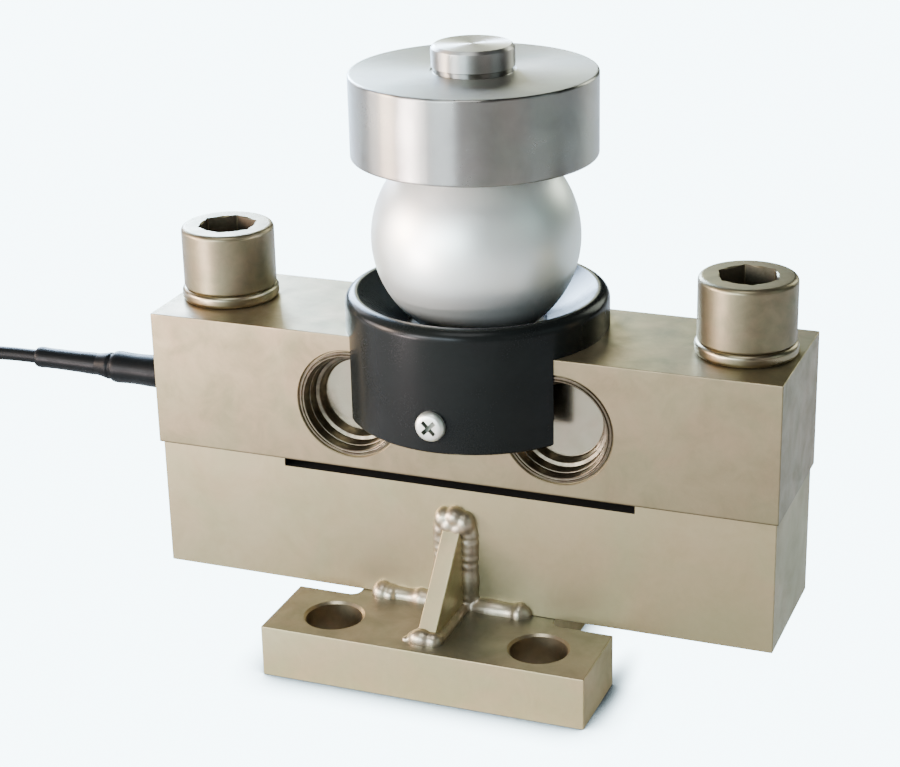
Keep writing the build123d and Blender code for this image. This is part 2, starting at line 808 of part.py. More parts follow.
gusset = make_gusset()
weld_beads = make_weld_beads(gusset)
write("front_gusset", gusset)
write("rear_gusset", behind(gusset))
write("front_weld_beads", weld_beads)
write("rear_weld_beads", behind(weld_beads))

write("cable_ferrule", make_cable_ferrule())
write("entry_sleeve", make_entry_sleeve())
write("cable_sleeve", make_cable_sleeve())
write("cable_entry", make_cable_entry())
cable_lead = tube("cable_lead", lead_points(), cable_diameter)
cable_tail = tube("cable_tail", tail_points(), cable_diameter)
write("cable_lead", cable_lead)
write("cable_tail", cable_tail)
write("cable_coil", make_cable_coil())
write("coil_ties", *make_coil_ties())
write("cable_cores", *make_cable_cores())
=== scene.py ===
# %% [markdown]
# # A strain gauge load cell
# The object is a steel weighing sensor: a measuring beam bolted to a base, a big ball that passes the
# load into the beam, a turned cap on the ball and a black ring that keeps the ball in place.
# The solid model is loaded first. It fixes every size and place, so each piece below is built over it.

# %% Load the fixed frame
from math import cos, pi, radians, sin

import bmesh
import bpy
from mathutils import Matrix, Vector


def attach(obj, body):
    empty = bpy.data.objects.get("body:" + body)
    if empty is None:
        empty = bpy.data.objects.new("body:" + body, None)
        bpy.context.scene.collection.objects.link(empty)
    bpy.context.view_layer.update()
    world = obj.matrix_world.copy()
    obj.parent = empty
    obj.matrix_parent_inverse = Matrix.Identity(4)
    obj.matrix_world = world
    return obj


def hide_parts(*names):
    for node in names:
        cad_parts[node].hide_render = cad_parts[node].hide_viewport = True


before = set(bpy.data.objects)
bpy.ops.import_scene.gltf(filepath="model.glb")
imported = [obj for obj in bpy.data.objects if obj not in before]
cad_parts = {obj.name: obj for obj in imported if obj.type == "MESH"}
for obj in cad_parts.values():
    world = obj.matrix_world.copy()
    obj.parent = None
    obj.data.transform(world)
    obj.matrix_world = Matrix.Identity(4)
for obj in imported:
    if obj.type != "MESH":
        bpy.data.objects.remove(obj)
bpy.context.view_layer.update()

MM = 0.001


# %% [markdown]
# # Camera
# The photograph was taken with a long lens from the right and a little above. A camera could be aimed by
# eye, but its place was worked out from the edges and circles of the object, so it is given as a frame of
# three directions: to the right of the picture, up, and back towards the photographer.

# %% Camera
camera_right = Vector((0.9320, 0.3610, -0.0220)).normalized()
camera_back = Vector((0.3430, -0.8650, 0.3660))
camera_back = (camera_back - camera_right * camera_back.dot(camera_right)).normalized()
camera_up = camera_back.cross(camera_right)
camera_place = Vector((227.8, -598.2, 336.0)) * MM
bpy.ops.object.camera_add()
camera = bpy.context.object
camera_turn = Matrix((camera_right, camera_up, camera_back)).transposed().to_4x4()
camera.matrix_world = Matrix.Translation(camera_place) @ camera_turn
camera.data.lens = 86.77
camera.data.sensor_width = 36.0
camera.data.clip_start = 0.05
camera.data.clip_end = 20.0
bpy.context.scene.camera = camera
print("camera stands", round(camera_place.length, 2), "m from the middle of the plate's underside")

# %% [markdown]
# # Cable
# A cell of this kind has about five metres of thin screened cable. Only a centimetre or so of it shows,
# past the sleeves. The rest is wound into a tied coil on the floor, just outside the picture. One smooth
# curve does for all of it: a few points from the sleeve down to the floor, sixteen for each turn, and the
# tail.
# The curve runs a little inside its points, so those of the winding lie slightly further out.

# %% The cable's route
cable_diameter = 4.6
cable_exit = (-150.7, -17.6, 82.0)
lead = [
    cable_exit,
    (-175.7, -17.6, 82.0),
    (-203.7, -19.8, 76.0),
    (-219.2, -23.1, 60.5),
    (-229.7, -28.6, 41.0),
    (-238.7, -32.7, 32.0),
    (-252.7, -32.7, 26.3),
]
coil_centre = (-267.7, 5.2)
coil_outer_turn = 37.9
coil_top_turn = 26.3
coil_turns = 23.75
coil_columns = 4
points_per_turn = 16
crossing = 0.25
outward = 1.018
tail = [(-229.8, -13.8, 3.3), (-225.8, -33.3, 2.3)]


def winding_place(turn_number):
    """The radius and height of one turn: four columns out and in again, layer under layer."""
    layer, column = divmod(turn_number, coil_columns)
    column = column if layer % 2 == 0 else coil_columns - 1 - column
    return coil_outer_turn - column * cable_diameter, coil_top_turn - layer * cable_diameter


def coil_points():
    """The winding from the top down. In the last quarter of a turn the cable crosses to the next place."""
    points = []
    last = int(coil_turns * points_per_turn)
    for index in range(last + 1):
        whole, part = divmod(index / points_per_turn, 1.0)
        ease = min(max((part - (1 - crossing)) / crossing, 0.0), 1.0)
        ease = ease * ease * (3 - 2 * ease)
        here, there = winding_place(int(whole)), winding_place(min(int(whole) + 1, int(coil_turns)))
        radius = here[0] + (there[0] - here[0]) * ease
        height = here[1] + (there[1] - here[1]) * ease
        angle = -pi / 2 - 2 * pi * index / points_per_turn
        radius = radius * (outward if 0 < index < last else 1.0)
        points.append((coil_centre[0] + radius * cos(angle), coil_centre[1] + radius * sin(angle), height))
    return points

# %% The cable as a smooth curve
route = lead + coil_points() + tail
cable_curve = bpy.data.curves.new("cable", "CURVE")
cable_curve.dimensions = "3D"
spline = cable_curve.splines.new("NURBS")
spline.points.add(len(route) - 1)
for point, at in zip(spline.points, route):
    point.co = (at[0] * MM, at[1] * MM, at[2] * MM, 1.0)
    point.radius = cable_diameter / 2 * MM
spline.order_u = 3
spline.use_endpoint_u = True
cable_curve.resolution_u = 5
cable_curve.bevel_depth = 1.0
cable_curve.bevel_resolution = 5
cable_curve.use_fill_caps = True
cable = bpy.data.objects.new("cable", cable_curve)
bpy.context.scene.collection.objects.link(cable)
print("cable has", len(route), "points and", round(spline.calc_length(), 3), "m")

# %% [markdown]
# # Working by hand
# These are the moves that every piece needs: start with nothing selected, pick faces or edges by where
# they are, turn a shape on a lathe, cut one shape with another, break the sharp edges, and bake the
# piece's place into its mesh so that patterns don't slide.

# %% Selecting
def let_go():
    """Nothing is selected and nothing is being edited."""
    if bpy.context.object and bpy.context.object.mode != "OBJECT":
        bpy.ops.object.mode_set(mode="OBJECT")
    bpy.ops.object.select_all(action="DESELECT")


def hold(piece):
    """Only this piece is selected."""
    let_go()
    piece.select_set(True)
    bpy.context.view_layer.objects.active = piece
    return piece


def new_piece(name):
    """Name what was just added and put its place into its mesh."""
    piece = bpy.context.object
    piece.name = piece.data.name = name
    bpy.ops.object.transform_apply(location=True, rotation=True, scale=True)
    return piece


def pick(piece, kind, test):
    """Select edges by their middle and direction, or faces by their middle and normal."""
    bpy.ops.mesh.select_mode(type=kind)
    bpy.ops.mesh.select_all(action="DESELECT")
    shape = bmesh.from_edit_mesh(piece.data)
    if kind == "EDGE":
        items = [(e, (e.verts[0].co + e.verts[1].co) / 2, e.verts[1].co - e.verts[0].co) for e in shape.edges]
    else:
        items = [(f, f.calc_center_median(), f.normal) for f in shape.faces]
    for item, middle, direction in items:
        item.select = bool(test(middle / MM, direction))
    shape.select_flush_mode()
    bmesh.update_edit_mesh(piece.data)

# %% Blocks and lathe work
def block(name, low, high):
    """A cube stretched between two corners given in millimetres."""
    let_go()
    low, high = Vector(low), Vector(high)
    bpy.ops.mesh.primitive_cube_add(size=1, location=(low + high) / 2 * MM, scale=(high - low) * MM)
    return new_piece(name)


def rod(name, radius, low, high, axis="Z", segments=96):
    """A cylinder along one axis, from the middle of its low end to the middle of its high end."""
    let_go()
    low, high = Vector(low), Vector(high)
    turned = {"X": (0, pi / 2, 0), "Y": (pi / 2, 0, 0), "Z": (0, 0, 0)}[axis]
    bpy.ops.mesh.primitive_cylinder_add(
        vertices=segments, radius=radius * MM, depth=(high - low).length * MM,
        location=(low + high) / 2 * MM, rotation=turned,
    )
    return new_piece(name)


def turn_on_lathe(name, rings, segments=144, ring_shaped=False):
    """A circle pulled from ring to ring about Z. Rings are (radius, height) in millimetres."""
    let_go()
    bpy.ops.mesh.primitive_circle_add(
        vertices=segments, radius=rings[0][0] * MM, location=(0, 0, rings[0][1] * MM), fill_type="NOTHING"
    )
    piece = new_piece(name)
    bpy.ops.object.mode_set(mode="EDIT")
    bpy.ops.mesh.select_all(action="SELECT")
    for before, here in zip(rings, rings[1:]):
        bpy.ops.mesh.extrude_edges_move(TRANSFORM_OT_translate={"value": (0, 0, (here[1] - before[1]) * MM)})
        scale = here[0] / before[0]
        bpy.ops.transform.resize(value=(scale, scale, 1.0))
    bpy.ops.mesh.select_all(action="SELECT")
    if ring_shaped:
        bpy.ops.mesh.remove_doubles(threshold=0.000002)
    else:
        bpy.ops.mesh.select_all(action="DESELECT")
        bpy.ops.mesh.select_non_manifold()
        bpy.ops.mesh.edge_face_add()
    bpy.ops.mesh.select_all(action="SELECT")
    bpy.ops.mesh.normals_make_consistent(inside=False)
    bpy.ops.object.mode_set(mode="OBJECT")
    return piece


def arc(centre, radius, start, end, steps=6):
    """Rings round a quarter or so of a circle, for rounded edges. Angles are in degrees."""
    angles = [radians(start + (end - start) * i / steps) for i in range(steps + 1)]
    return [(centre[0] + radius * cos(a), centre[1] + radius * sin(a)) for a in angles]

# %% Cutting, breaking edges and moving
def apply_all(piece):
    hold(piece)
    for modifier in list(piece.modifiers):
        bpy.ops.object.modifier_apply(modifier=modifier.name)


def cut(piece, *tools):
    """Take each tool's shape out of the piece, and throw the tool away."""
    for tool in tools:
        modifier = piece.modifiers.new("cut", "BOOLEAN")
        modifier.operation = "DIFFERENCE"
        modifier.solver = "EXACT"
        modifier.object = tool
        apply_all(piece)
        bpy.data.objects.remove(tool)
    return piece


def break_edges(piece, width, segments=3, angle=32):
    """Round every edge sharper than the angle."""
    modifier = piece.modifiers.new("edges", "BEVEL")
    modifier.width = width * MM
    modifier.segments = segments
    modifier.limit_method = "ANGLE"
    modifier.angle_limit = radians(angle)
    modifier.use_clamp_overlap = True
    apply_all(piece)
    return piece


def round_picked(piece, width, segments, test):
    """Round the edges whose middle and direction pass the test, in edit mode."""
    bpy.ops.object.mode_set(mode="EDIT")
    pick(piece, "EDGE", test)
    bpy.ops.mesh.bevel(offset=width * MM, segments=segments)
    bpy.ops.object.mode_set(mode="OBJECT")
    return piece


def smooth(piece, angle=35):
    """Shade the rounded edges soft and keep the flat faces flat."""
    hold(piece)
    bpy.ops.mesh.customdata_custom_splitnormals_clear()
    bpy.ops.object.shade_smooth_by_angle(angle=radians(angle))
    modifier = piece.modifiers.new("flats", "WEIGHTED_NORMAL")
    modifier.keep_sharp = True
    modifier.weight = 80
    apply_all(piece)
    return piece


def place(piece, move=(0, 0, 0), turn=(0, 0, 0)):
    """Turn a piece about the origin and move it, then put both into its mesh."""
    hold(piece)
    piece.rotation_euler = [radians(a) for a in turn]
    piece.location = Vector(move) * MM
    bpy.ops.object.transform_apply(location=True, rotation=True, scale=True)
    return piece


def again(piece, name, move=(0, 0, 0), turn=(0, 0, 0)):
    """A copy with its own mesh, at another place."""
    hold(piece)
    bpy.ops.object.duplicate(linked=False)
    copy = bpy.context.object
    copy.name = copy.data.name = name
    return place(copy, move, turn)


def join(name, *parts):
    """Several loose shells as one piece."""
    hold(parts[0])
    for part in parts[1:]:
        part.select_set(True)
    bpy.ops.object.join()
    piece = bpy.context.object
    piece.name = piece.data.name = name
    return piece


def on_frame(piece, slot, *nodes):
    """The piece stands for these solids and rides on the body."""
    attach(piece, "root")
    if nodes:
        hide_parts(*nodes)
    faces = len(piece.data.polygons) if piece.type == "MESH" else 0
    print(piece.name, "stands for", ", ".join(nodes) or "nothing", "with", faces, "faces")
    return piece

# %% [markdown]
# # Mounting plate
# The foot is a steel plate with a bar across the front and one across the rear, and four bolt holes.
# It is a block with two round-cornered notches cut from its sides. Bolt holes get a small chamfer, which
# shows in the photograph as a bright ring, so each is drilled with a countersunk tool.

# %% Mounting plate
plate_thick = 17.0
bar_half_length, bar_front, bar_back = 53.2, 57.0, 27.2
web_half_width = 33.0
notch_corner = 3.0
plate = block("mounting_plate_dressed", (-bar_half_length, -bar_front, 0.0),
              (bar_half_length, bar_front, plate_thick))
for side in (-1, 1):
    left, right = sorted((web_half_width * side, 60.0 * side))
    notch = block("notch", (left, -bar_back, -2.0), (right, bar_back, plate_thick + 2.0))
    round_picked(notch, notch_corner, 6,
                 lambda m, d: abs(d.z) > 0.01 and abs(abs(m.x) - web_half_width) < 0.1)
    cut(plate, notch)
break_edges(plate, 0.4, 3)

# %% Foundation holes
hole_x, hole_y = 34.2, 42.7


def bolt_drill(x, y, radius=9.0, chamfer=0.75, top=plate_thick):
    rings = [(radius + chamfer, -1.0), (radius + chamfer, 0.0), (radius, chamfer), (radius, top - chamfer),
             (radius + chamfer, top), (radius + chamfer, top + 1.0)]
    return place(turn_on_lathe("drill", rings, 96), (x, y, 0))


for x in (-hole_x, hole_x):
    for y in (-hole_y, hole_y):
        cut(plate, bolt_drill(x, y))
smooth(plate, 25)
print("mounting plate has", len(plate.data.polygons), "faces")

# %% [markdown]
# # Base block
# The block under the beam is nearly as long as the beam. A shallow recess in its top leaves the beam free
# to bend, and shows as a thin black line, which is painted shade on the recess's faces. The recess runs
# right through from front to back, so after the edges are broken one plain block cuts it.

# %% Base block
base_half_length, base_half_depth, base_top = 102.25, 23.0, 60.3
recess_half_length, recess_floor = 58.5, 57.2
base = block("base_block_dressed", (-base_half_length, -base_half_depth, plate_thick),
             (base_half_length, base_half_depth, base_top))
break_edges(base, 0.4, 3)
cut(base, block("recess", (-recess_half_length, -30.0, recess_floor), (recess_half_length, 30.0, 62.0)))
smooth(base, 25)
print("base block has", len(base.data.polygons), "faces")

# %% [markdown]
# # Beam
# The beam carries the gauges in four round pockets, two in front and two behind. Each pocket has a wider,
# shallow step for the rim of its cup. The cuts are made with lathe-turned tools that have every step of
# the bore in one profile, which keeps the circles true.

# %% Beam
beam_half_length, beam_half_depth, beam_top = 103.0, 24.5, 104.8
pocket_x, pocket_z = 34.2, 82.0
clamp_x = 86.0
beam = block("load_cell_beam_dressed", (-beam_half_length, -beam_half_depth, base_top),
             (beam_half_length, beam_half_depth, beam_top))
break_edges(beam, 0.4, 3)


def pocket_tool(x, side):
    rings = [(18.0, 1.0), (18.0, 0.0), (17.75, -0.25), (17.75, -0.95), (16.4, -0.95), (16.4, -20.0)]
    tool = turn_on_lathe("pocket", rings, 144)
    return place(tool, (x, side * beam_half_depth, pocket_z), (90 if side < 0 else -90, 0, 0))


for x in (-pocket_x, pocket_x):
    for side in (-1, 1):
        cut(beam, pocket_tool(x, side))
screw_hole_radius, cable_bore_radius = 11.0, 4.0
for x in (-clamp_x, clamp_x):
    cut(beam, rod("screw hole", screw_hole_radius, (x, 0, 50.0), (x, 0, 120.0)))
cable_y, cable_z = cable_exit[1:]
bore_ends = (-110.0, cable_y, cable_z), (-96.0, cable_y, cable_z)
cut(beam, rod("cable bore", cable_bore_radius, *bore_ends, "X", 48))

# %% Ball seat
seat_radius, seat_centre = 33.5, 134.4
let_go()
bpy.ops.mesh.primitive_uv_sphere_add(
    segments=96, ring_count=48, radius=seat_radius * MM, location=(0, 0, seat_centre * MM)
)
cut(beam, new_piece("ball seat"))
smooth(beam, 25)
print("beam has", len(beam.data.polygons), "faces")

# %% [markdown]
# # Sealing cups
# Each pocket is closed by a thin pressed cup. It has a flat rim, a flared wall, a ledge half-way down and
# a bright flat floor. A pressed sheet bends with small radii, so its profile is turned with rounded
# corners, out along the side that shows and back along the hidden one.

# %% Sealing cups
rim = [(17.3, -0.35), (17.15, -0.22), (16.75, -0.22), (16.6, -0.35), (16.5, -0.62), (16.3, -0.66)]
rim += [(16.2, -0.4), (16.1, -0.25), (15.85, -0.25), (15.7, -0.35), (15.6, -0.6), (15.5, -1.4)]
wall = [(15.15, -2.6), (15.0, -2.9), (14.8, -3.0), (14.7, -3.3), (14.45, -4.9), (14.3, -5.6), (14.15, -5.9)]
ledge = [(13.9, -6.0), (13.2, -6.15), (13.0, -6.3), (12.85, -6.65), (12.4, -8.3), (12.25, -8.95)]
cup_floor = [(12.05, -9.25), (11.75, -9.4), (0.02, -9.4)]
shown = rim + wall + ledge + cup_floor
hidden = [(0.02, -10.1), (11.9, -10.1), (12.5, -9.8), (12.85, -9.0), (13.35, -7.35), (14.5, -6.7)]
hidden += [(15.0, -5.8), (15.9, -2.2), (16.3, -0.95), (17.3, -0.95)]
cup = turn_on_lathe("cup", shown + hidden + shown[:1], 144, ring_shaped=True)
smooth(cup, 30)
cups = {}
for x, end in ((-pocket_x, "left"), (pocket_x, "right")):
    for side, face in ((-1, "front"), (1, "rear")):
        name = "sealing_cup_" + face + "_" + end
        outward_turn = (90 if side < 0 else -90, 0, 0)
        cups[name] = again(cup, name + "_dressed", (x, side * beam_half_depth, pocket_z), outward_turn)
bpy.data.objects.remove(cup)
print(len(cups), "cups, each", 2 * shown[0][0], "mm across")

# %% [markdown]
# # Clamping screws and lock washers
# The beam is held by two socket head cap screws. The head is turned, with a rounded top edge, and the
# hexagon is cut with a six-sided tool that starts with a cone, as the real socket has a chamfered mouth.
# Under each head lies a spring washer of rounded section with one slanted slit.

# %% Clamping screws
washer_top = 109.1
head_top = washer_top + 20.0
profile = [(0.02, 29.1), (8.4, 29.1), (10.0, 30.7), (10.0, washer_top - 0.02), (14.2, washer_top - 0.02)]
profile += arc((14.2, washer_top + 0.8), 0.8, -90, 0, 3)[1:]
profile += arc((13.4, head_top - 1.6), 1.6, 0, 90, 7)
profile += [(9.2, head_top), (9.0, head_top), (0.02, head_top)]


def socket_tool(turn, across_flats=17.0):
    let_go()
    bpy.ops.mesh.primitive_cylinder_add(
        vertices=6, radius=across_flats / 2 / cos(pi / 6) * MM, depth=12.0 * MM,
        location=(0, 0, (head_top - 4.0) * MM),
    )
    tool = new_piece("hexagon")
    break_edges(tool, 0.3, 2)
    return place(tool, turn=(0, 0, turn))


def make_screw(name, x, turn):
    screw = turn_on_lathe(name, profile, 144)
    cone = [(0.02, head_top - 1.6), (7.4, head_top - 1.6), (9.4, head_top + 0.4), (9.4, head_top + 1.0)]
    cut(screw, socket_tool(turn), turn_on_lathe("mouth", cone))
    return place(smooth(screw, 30), (x, 0, 0))


left_screw, right_screw = make_screw("screw", -clamp_x, 8.0), make_screw("screw", clamp_x, 20.0)
screws = join("clamp_screws_dressed", left_screw, right_screw)
print("screw heads end at", head_top, "mm")

# %% Lock washers
section = arc((14.2, 106.3), 1.5, -90, 0, 6) + arc((14.2, 107.6), 1.5, 0, 90, 6)
section += arc((11.6, 108.1), 1.0, 90, 180, 4) + arc((11.3, 105.8), 1.0, 180, 270, 4)
washers = []
for x in (-clamp_x, clamp_x):
    washer = turn_on_lathe("washer", section + section[:1], 144, ring_shaped=True)
    slit = place(block("slit", (-0.8, 0.0, -8.0), (0.8, 40.0, 8.0)), turn=(0, 25, 0))
    cut(washer, place(slit, (0, 0, 107.0)))
    washers.append(place(smooth(washer, 40), (x, 0, 0)))
washers = join("lock_washers_dressed", *washers)
print("lock washers have", len(washers.data.polygons), "faces")

# %% [markdown]
# # Ball, cap and retainer
# The ball is a cube subdivided and pushed out to a sphere, which has no poles to catch the light. The cap
# and the retainer are turned. The retainer is then milled to straddle the beam, drilled for its two
# screws, and its long edges are broken.

# %% Bearing ball
ball_radius, ball_z = 32.5, 133.4
let_go()
bpy.ops.mesh.primitive_cube_add(size=2 * MM)
ball = new_piece("bearing_ball_dressed")
bpy.ops.object.mode_set(mode="EDIT")
bpy.ops.mesh.select_all(action="SELECT")
bpy.ops.mesh.subdivide(number_cuts=47)
bpy.ops.object.mode_set(mode="OBJECT")


def even_out(v, a, b):
    """One coordinate of a cube's point, moved so that the sphere's faces come out alike in size."""
    return v * (1 - (a * a + b * b) / 2 + a * a * b * b / 3) ** 0.5


for vertex in ball.data.vertices:
    x, y, z = (v / MM for v in vertex.co)
    even = Vector((even_out(x, y, z), even_out(y, z, x), even_out(z, x, y)))
    vertex.co = even.normalized() * ball_radius * MM
place(ball, (0, 0, ball_z))
hold(ball)
bpy.ops.object.shade_smooth()
print("ball has", len(ball.data.polygons), "faces")

# %% Load cap
socket_centre = 132.4
cap_rings = [(0.02, 165.9)]
for angle in (4, 8, 12, 16, 20, 24, 28, 32):
    a = radians(angle)
    cap_rings.append((seat_radius * sin(a), socket_centre + seat_radius * cos(a)))
cap_rings += [(19.98, 159.4), (37.1, 159.4)] + arc((37.2, 160.2), 0.8, -70, -10, 3) + [(38.0, 160.3)]
cap_rings += [(38.0, 184.4)] + arc((37.2, 184.5), 0.8, 8, 82, 4) + [(37.0, 185.3), (13.1, 185.3)]
relief = [(13.1, 185.0), (12.3, 185.0), (12.2, 185.1), (12.2, 186.5), (12.3, 186.65), (12.6, 186.7)]
spigot = [(12.7, 186.8), (12.7, 192.2), (12.6, 192.45), (11.9, 193.15), (11.65, 193.3), (0.02, 193.3)]
cap = smooth(turn_on_lathe("load_cap_dressed", cap_rings + relief + spigot, 192), 25)
print("cap has", len(cap.data.polygons), "faces")

# %% Ball retainer
retainer_radius = 41.4
pan_screw_z = 85.8
outside_rings = [(0.02, 76.8), (40.5, 76.8), (40.75, 76.85), (41.3, 77.4), (retainer_radius, 77.7)]
shoulder = [(retainer_radius, 112.7)] + arc((37.9, 113.0), 3.5, 3, 90, 9)
dish = [(37.5, 116.4), (37.0, 116.1), (22.0, 106.7), (21.65, 106.4), (21.5, 106.0)]
dish += [(21.5, beam_top), (0.02, beam_top)]
retainer = turn_on_lathe("ball_retainer_dressed", outside_rings + shoulder + dish, 192)
cut(retainer, block("channel", (-45.0, -24.6, 70.0), (45.0, 24.6, beam_top)))
break_edges(retainer, 0.45, 3, 40)
for side in (-1, 1):
    bore = turn_on_lathe("bore", [(2.75, -20.0), (2.75, -0.7), (3.05, -0.4), (5.5, -0.4), (5.5, 3.0)], 64)
    cut(retainer, place(bore, (0, side * retainer_radius, pan_screw_z), (90 if side < 0 else -90, 0, 0)))
smooth(retainer, 30)
print("retainer has", len(retainer.data.polygons), "faces")

# %% Retainer screws
pan_seat_y = 41.0
head = [(0.02, -25.0), (2.1, -25.0), (2.5, -24.6), (2.5, 0.0), (4.45, 0.0), (4.7, 0.2), (4.7, 0.9)]
head += arc((3.0, 0.9), 1.7, 0, 68, 6)[1:] + [(2.6, 2.58), (0.02, 2.62)]
pan = turn_on_lathe("pan", head, 72)
for angle in (45, 135):
    arm = block("arm", (-3.0, -0.7, 0.6), (3.0, 0.7, 4.0))
    bpy.ops.object.mode_set(mode="EDIT")
    pick(arm, "FACE", lambda m, n: n.z < -0.5)
    bpy.ops.transform.resize(value=(0.8, 0.85, 1.0))
    bpy.ops.object.mode_set(mode="OBJECT")
    cut(pan, place(arm, turn=(0, 0, angle)))
smooth(pan, 30)
pan_screws = join(
    "retainer_screws_dressed",
    again(pan, "front_pan", (0, -pan_seat_y, pan_screw_z), (90, 0, 0)),
    again(pan, "rear_pan", (0, pan_seat_y, pan_screw_z), (-90, 0, 0)),
)
bpy.data.objects.remove(pan)
print("retainer screws have", len(pan_screws.data.polygons), "faces")

# %% [markdown]
# # Gussets and welds
# A rib stiffens the corner between the base and each bar of the plate. It is a small block with its front
# sliced off at a slant. The weld metal is the one irregular thing here. Rows of flattened balls are laid
# along the joints as a welder lays drops, then melted into one skin with a voxel remesh and smoothed.

# %% Gussets
rib_half_width, rib_front, rib_top = 3.0, 50.0, 46.0
slope = Vector((0, -26.5, 24.5)).normalized()
slope_start = -25.5


def make_gusset(name):
    rib = block(name, (-rib_half_width, -rib_front, plate_thick), (rib_half_width, -base_half_depth, rib_top))
    bpy.ops.object.mode_set(mode="EDIT")
    bpy.ops.mesh.select_all(action="SELECT")
    bpy.ops.mesh.bisect(
        plane_co=(0, slope_start * MM, rib_top * MM), plane_no=slope, clear_outer=True, use_fill=True
    )
    bpy.ops.object.mode_set(mode="OBJECT")
    return smooth(break_edges(rib, 0.5, 3), 25)


front_gusset = make_gusset("front_gusset_dressed")
rear_gusset = again(make_gusset("rear"), "rear_gusset_dressed", turn=(0, 0, 180))
bpy.data.objects.remove(bpy.data.objects["rear"])
print("each gusset has", len(front_gusset.data.polygons), "faces")

# %% Weld metal
def drop(place_mm, size, turn=(0, 0, 0)):
    let_go()
    bpy.ops.mesh.primitive_uv_sphere_add(
        segments=20, ring_count=12, radius=MM, location=Vector(place_mm) * MM, scale=size,
        rotation=[radians(a) for a in turn],
    )
    return new_piece("drop")


def bead(start, end, radius, step=1.3, ripple=0.0):
    """A row of drops laid so close that they run together, with a slow swell along it.

    Where a ripple is given, flattened drops at that distance lie across the row, leaning in turn.
    """
    start, end = Vector(start), Vector(end)
    count = max(2, round((end - start).length / step))
    drops = []
    for i in range(count + 1):
        swell = 1 + 0.07 * sin(0.55 * i * step + start.x) + 0.05 * sin(0.24 * i * step + start.z)
        drops.append(drop(start.lerp(end, i / count), [radius * swell] * 3))
    if ripple:
        level = abs(end.x - start.x) > abs(end.z - start.z)
        flat = Vector((0.55, 1.0, 1.0)) if level else Vector((1.0, 1.0, 0.62))
        for i in range(int((end - start).length / ripple) + 1):
            lean = 24 if i % 2 else 16
            at = start.lerp(end, i * ripple / (end - start).length)
            drops.append(drop(at, flat * radius * 1.09, (18, lean if start.x > 0 else -lean, 0)))
    return drops

# %% Beads in front
drops = bead((-26.0, -base_half_depth, plate_thick), (-4.0, -base_half_depth, plate_thick), 3.3)
drops += bead((4.0, -base_half_depth, plate_thick), (21.5, -base_half_depth, plate_thick), 3.7)
for side in (-1, 1):
    drops += bead((side * 3.9, -22.6, 19.0), (side * 4.3, -22.6, 44.0), 3.5, ripple=2.7)
    drops += bead((side * 3.0, -26.0, plate_thick), (side * 3.0, -47.0, plate_thick), 2.3)
drops += [drop((-25.4, -23.2, 17.6), (3.6, 4.4, 4.0)), drop((-22.4, -23.2, 17.2), (3.4, 4.2, 3.6)),
          drop((21.4, -23.2, 17.2), (3.2, 4.4, 4.3)), drop((-12.0, -23.0, 17.2), (3.6, 3.9, 3.9)),
          drop((-3.4, -23.4, 47.2), (3.4, 3.8, 3.8)), drop((0.4, -23.6, 48.2), (3.6, 3.9, 3.5)),
          drop((3.4, -23.2, 46.2), (3.6, 4.2, 4.4)), drop((-1.6, -24.6, 45.4), (3.0, 3.0, 3.0)),
          drop((1.6, -25.0, 44.6), (2.6, 2.6, 2.6)), drop((-4.6, -23.2, 43.4), (2.6, 3.4, 3.2)),
          drop((-1.6, -50.0, 17.8), (4.2, 3.2, 3.4)), drop((2.2, -49.6, 17.4), (3.2, 3.0, 3.2)),
          drop((-4.4, -49.0, 17.0), (2.4, 2.6, 2.6)), drop((-6.4, -50.5, 17.0), (1.5, 1.5, 1.4))]
print("front welds are laid with", len(drops), "drops")

# %% Melting the beads together
weld = join("front_weld_beads_dressed", *drops)
melt = weld.modifiers.new("melt", "REMESH")
melt.mode = "VOXEL"
melt.voxel_size = 0.40 * MM
settle = weld.modifiers.new("settle", "SMOOTH")
settle.factor = 0.5
settle.iterations = 14
apply_all(weld)
bpy.ops.object.mode_set(mode="EDIT")
for at, away in (((0, -22.6, 0), (0, 1, 0)), ((0, 0, plate_thick), (0, 0, -1))):
    bpy.ops.mesh.select_all(action="SELECT")
    bpy.ops.mesh.bisect(plane_co=Vector(at) * MM, plane_no=away, clear_outer=True, use_fill=True)
bpy.ops.object.mode_set(mode="OBJECT")
smooth(weld, 60)
rear_weld = again(weld, "rear_weld_beads_dressed", turn=(0, 0, 180))
print("front welds have", len(weld.data.polygons), "faces")

# %% [markdown]
# # Cable sleeves
# Two lengths of shrunk sleeve protect the cable where it leaves the beam. The fat one grips a ferrule
# and ends in a rolled edge, and the thin one has a step at its far end. Shrunk sleeve follows what lies
# under it, so the profiles swell and pinch a little.

# %% Cable sleeves
fat = [(4.0, 0.0), (5.3, 0.0), (5.32, -2.0), (5.2, -6.0), (5.05, -9.5), (5.1, -13.0), (5.25, -16.2),
       (5.2, -17.4), (5.0, -18.1), (4.6, -18.45), (4.25, -18.8), (4.15, -19.2), (4.3, -19.6), (4.45, -20.0),
       (4.4, -20.6), (4.15, -21.6), (3.85, -23.0), (3.68, -24.2), (3.6, -24.5), (3.6, -16.0), (4.0, -16.0)]
thin = [(2.3, -16.0), (3.6, -16.0), (3.6, -24.5), (3.66, -27.0), (3.5, -31.0), (3.42, -36.0), (3.38, -41.0),
        (3.4, -44.0), (3.5, -45.6), (3.45, -46.8), (3.2, -47.5), (2.9, -47.7), (2.3, -47.7)]
sleeves = []
for name, rings in (("entry_sleeve", fat), ("cable_sleeve", thin)):
    sleeve = turn_on_lathe(name + "_dressed", rings + rings[:1], 72, ring_shaped=True)
    sleeves.append(place(smooth(sleeve, 45), (-beam_half_length, cable_y, cable_z), (0, 90, 0)))
entry_sleeve, cable_sleeve = sleeves
print("sleeves reach", -thin[-1][1], "mm from the beam")

